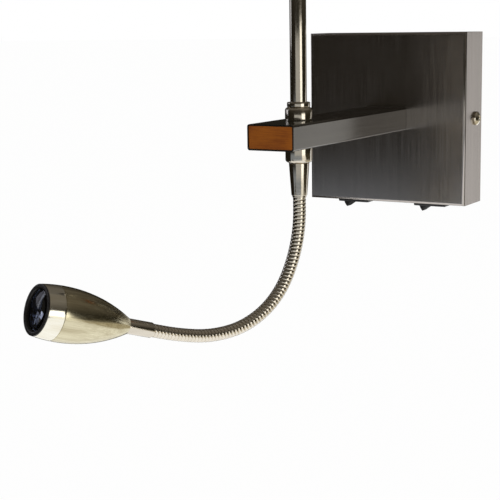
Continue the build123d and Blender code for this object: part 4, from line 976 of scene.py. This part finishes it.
def hung(name, bearings, outline, paint, steps=60):
    """Cloth or card round the lamp, shown only in metal and glass. Bearings run from front to right."""
    first, last = (math.radians(bearing) for bearing in bearings)
    shape = bmesh.new()
    rows = [
        [
            shape.verts.new((
                distance * math.sin(first + (last - first) * i / steps),
                -distance * math.cos(first + (last - first) * i / steps),
                height,
            ))
            for i in range(steps + 1)
        ]
        for distance, height in outline
    ]
    for low_row, high_row in zip(rows, rows[1:]):
        for i in range(steps):
            shape.faces.new((low_row[i], low_row[i + 1], high_row[i + 1], high_row[i]))
    mesh = bpy.data.meshes.new(name)
    shape.to_mesh(mesh)
    shape.free()
    cloth = Finish(name)
    tone = paint(cloth) if callable(paint) else paint
    glow = cloth.node("ShaderNodeEmission", {}, {"Color": tint(tone), "Strength": 1.0})
    cloth.node("ShaderNodeOutputMaterial", {}, {"Surface": glow})
    mesh.materials.append(cloth.material)
    piece = bpy.data.objects.new(name, mesh)
    bpy.context.scene.collection.objects.link(piece)
    for ray in ("camera", "diffuse", "shadow"):
        setattr(piece, f"visible_{ray}", False)


def by_height(bottom, middle, top, low_step=(-0.31, -0.26), high_step=(0.15, 1.3)):
    """A cloth's tone: one by the floor, one at the arm's height and one overhead."""
    def paint(cloth):
        here = cloth.node("ShaderNodeTexCoord", out="Object")
        height = cloth.node("ShaderNodeSeparateXYZ", {}, {0: here}, out="Z")
        below = cloth.mix(cloth.spread(height, *low_step), bottom, middle)
        return cloth.mix(cloth.spread(height, *high_step), below, top)
    return paint


CLOTH_DISTANCE = 1.7
LYING_FROM = 0.95
DOME_STEP = 4


def dome_from(degrees):
    """A cloth's outline from some height over the lamp's level up to overhead."""
    angles = [math.radians(step) for step in range(degrees, 90, DOME_STEP)]
    return [(CLOTH_DISTANCE * math.cos(angle), CLOTH_DISTANCE * math.sin(angle)) for angle in angles]


def card(name, bearings, distance, heights, tone):
    """An upright card at one distance from the lamp."""
    hung(name, bearings, [(distance, height) for height in heights], tone)


def laid(name, bearings, reach, tone, lift=0.003):
    """A cloth or card laid on the floor, a little over it."""
    hung(name, bearings, [(distance, floor_height + lift) for distance in reach], tone)


lying = floor_height + 0.002
flat_on_floor = [(LYING_FROM, lying), (CLOTH_DISTANCE, lying)]
from_floor_to_dome = flat_on_floor + [(CLOTH_DISTANCE, -0.35)] + dome_from(-6)
OVERHEAD = (0.115, 0.103, 0.088)
OVERHEAD_RIGHT = (0.150, 0.133, 0.110)
DARK = (0.014, 0.012, 0.008)
DARK_FRONT = (0.020, 0.017, 0.012)
DARK_RIGHT = (0.020, 0.017, 0.011)
DARK_BACK = (0.050, 0.043, 0.030)
DARK_CORNER = (0.040, 0.034, 0.024)
BROWN_FLOOR = (0.050, 0.042, 0.026)
PALE_FLOOR = (0.25, 0.275, 0.31)
hung("cloth_left", (-160.0, -42.0), from_floor_to_dome, by_height(DARK, DARK, OVERHEAD))
hung("cloth_front", (-42.0, 45.0), from_floor_to_dome,
     by_height(PALE_FLOOR, DARK_FRONT, OVERHEAD, low_step=(-0.315, -0.225)))
hung("cloth_right", (45.0, 134.0), from_floor_to_dome,
     by_height(BROWN_FLOOR, DARK_RIGHT, OVERHEAD_RIGHT, high_step=(0.05, 1.1)))
hung("cloth_back_right", (134.0, 144.0), dome_from(-6), by_height(DARK, DARK_CORNER, OVERHEAD), steps=4)
hung("cloth_back", (144.0, 200.0), dome_from(3), by_height(DARK, DARK_BACK, OVERHEAD))
hung("pale_card", (144.0, 200.0), flat_on_floor + [(CLOTH_DISTANCE, 0.088)], (0.66, 0.645, 0.63))
laid("warm_card", (66.0, 143.0), (0.16, 0.92), (0.46, 0.41, 0.31))
laid("cloth_on_floor", (-115.0, -36.0), (0.50, LYING_FROM), DARK, lift=0.002)
card("grey_card", (-8.0, 47.0), 1.6, (-0.42, 0.10), (0.46, 0.455, 0.44))
card("white_card", (47.0, 74.0), 1.55, (-0.44, 0.16), (1.7, 1.66, 1.56))
card("slate_card", (-100.0, -68.0), 1.6, (0.03, 0.75), (0.46, 0.46, 0.53))
card("strip_card", (-74.0, -69.0), 1.55, (0.04, 0.7), (1.2, 1.25, 1.4))
laid("floor_behind", (-178.0, -72.0), (0.13, LYING_FROM), (0.02, 0.017, 0.012))
laid("pale_floor_card", (46.0, 78.0), (0.90, 1.56), (1.0, 0.97, 0.88))

SOFT_BOX_SIDE = 1.2
SOFT_BOX_POWER = 5.0
SOFT_BOX_PLACE = (0.9, -1.3, 1.0)
SOFT_BOX_AIM = Vector((0.0, -0.2, -0.1))
lamp = bpy.data.lights.new("soft_box", "AREA")
lamp.shape = "RECTANGLE"
lamp.size = lamp.size_y = SOFT_BOX_SIDE
lamp.energy = SOFT_BOX_POWER
soft_box = bpy.data.objects.new("soft_box", lamp)
soft_box.location = SOFT_BOX_PLACE
soft_box.rotation_euler = (SOFT_BOX_AIM - soft_box.location).to_track_quat("-Z", "Y").to_euler()
soft_box.visible_glossy = False
bpy.context.scene.collection.objects.link(soft_box)

# the camera stands to the right of the arm and a little above it
CAMERA_BEARING = math.radians(30.229)
CAMERA_HEIGHT = math.radians(9.889)
CAMERA_ROLL = math.radians(-0.898)
CAMERA_DISTANCE = 1.2709
FOCAL_LENGTH = 94.39
AIMED_AT = Vector((-0.147333, -0.030, -0.131497))
back = Vector((
    math.sin(CAMERA_BEARING) * math.cos(CAMERA_HEIGHT),
    -math.cos(CAMERA_BEARING) * math.cos(CAMERA_HEIGHT),
    math.sin(CAMERA_HEIGHT),
))
level = Vector((math.cos(CAMERA_BEARING), math.sin(CAMERA_BEARING), 0.0))
rise = back.cross(level)
right = level * math.cos(CAMERA_ROLL) + rise * math.sin(CAMERA_ROLL)
above = rise * math.cos(CAMERA_ROLL) - level * math.sin(CAMERA_ROLL)
camera_data = bpy.data.cameras.new("camera")
camera_data.lens = FOCAL_LENGTH
camera_data.sensor_width = 36.0
camera_data.clip_start = 0.01
camera_data.clip_end = 200.0
camera = bpy.data.objects.new("camera", camera_data)
turned_to = Matrix((right, above, back)).transposed().to_4x4()
camera.matrix_world = Matrix.Translation(AIMED_AT + back * CAMERA_DISTANCE) @ turned_to
bpy.context.scene.collection.objects.link(camera)
bpy.context.scene.camera = camera
bpy.context.scene.view_settings.view_transform = "Standard"
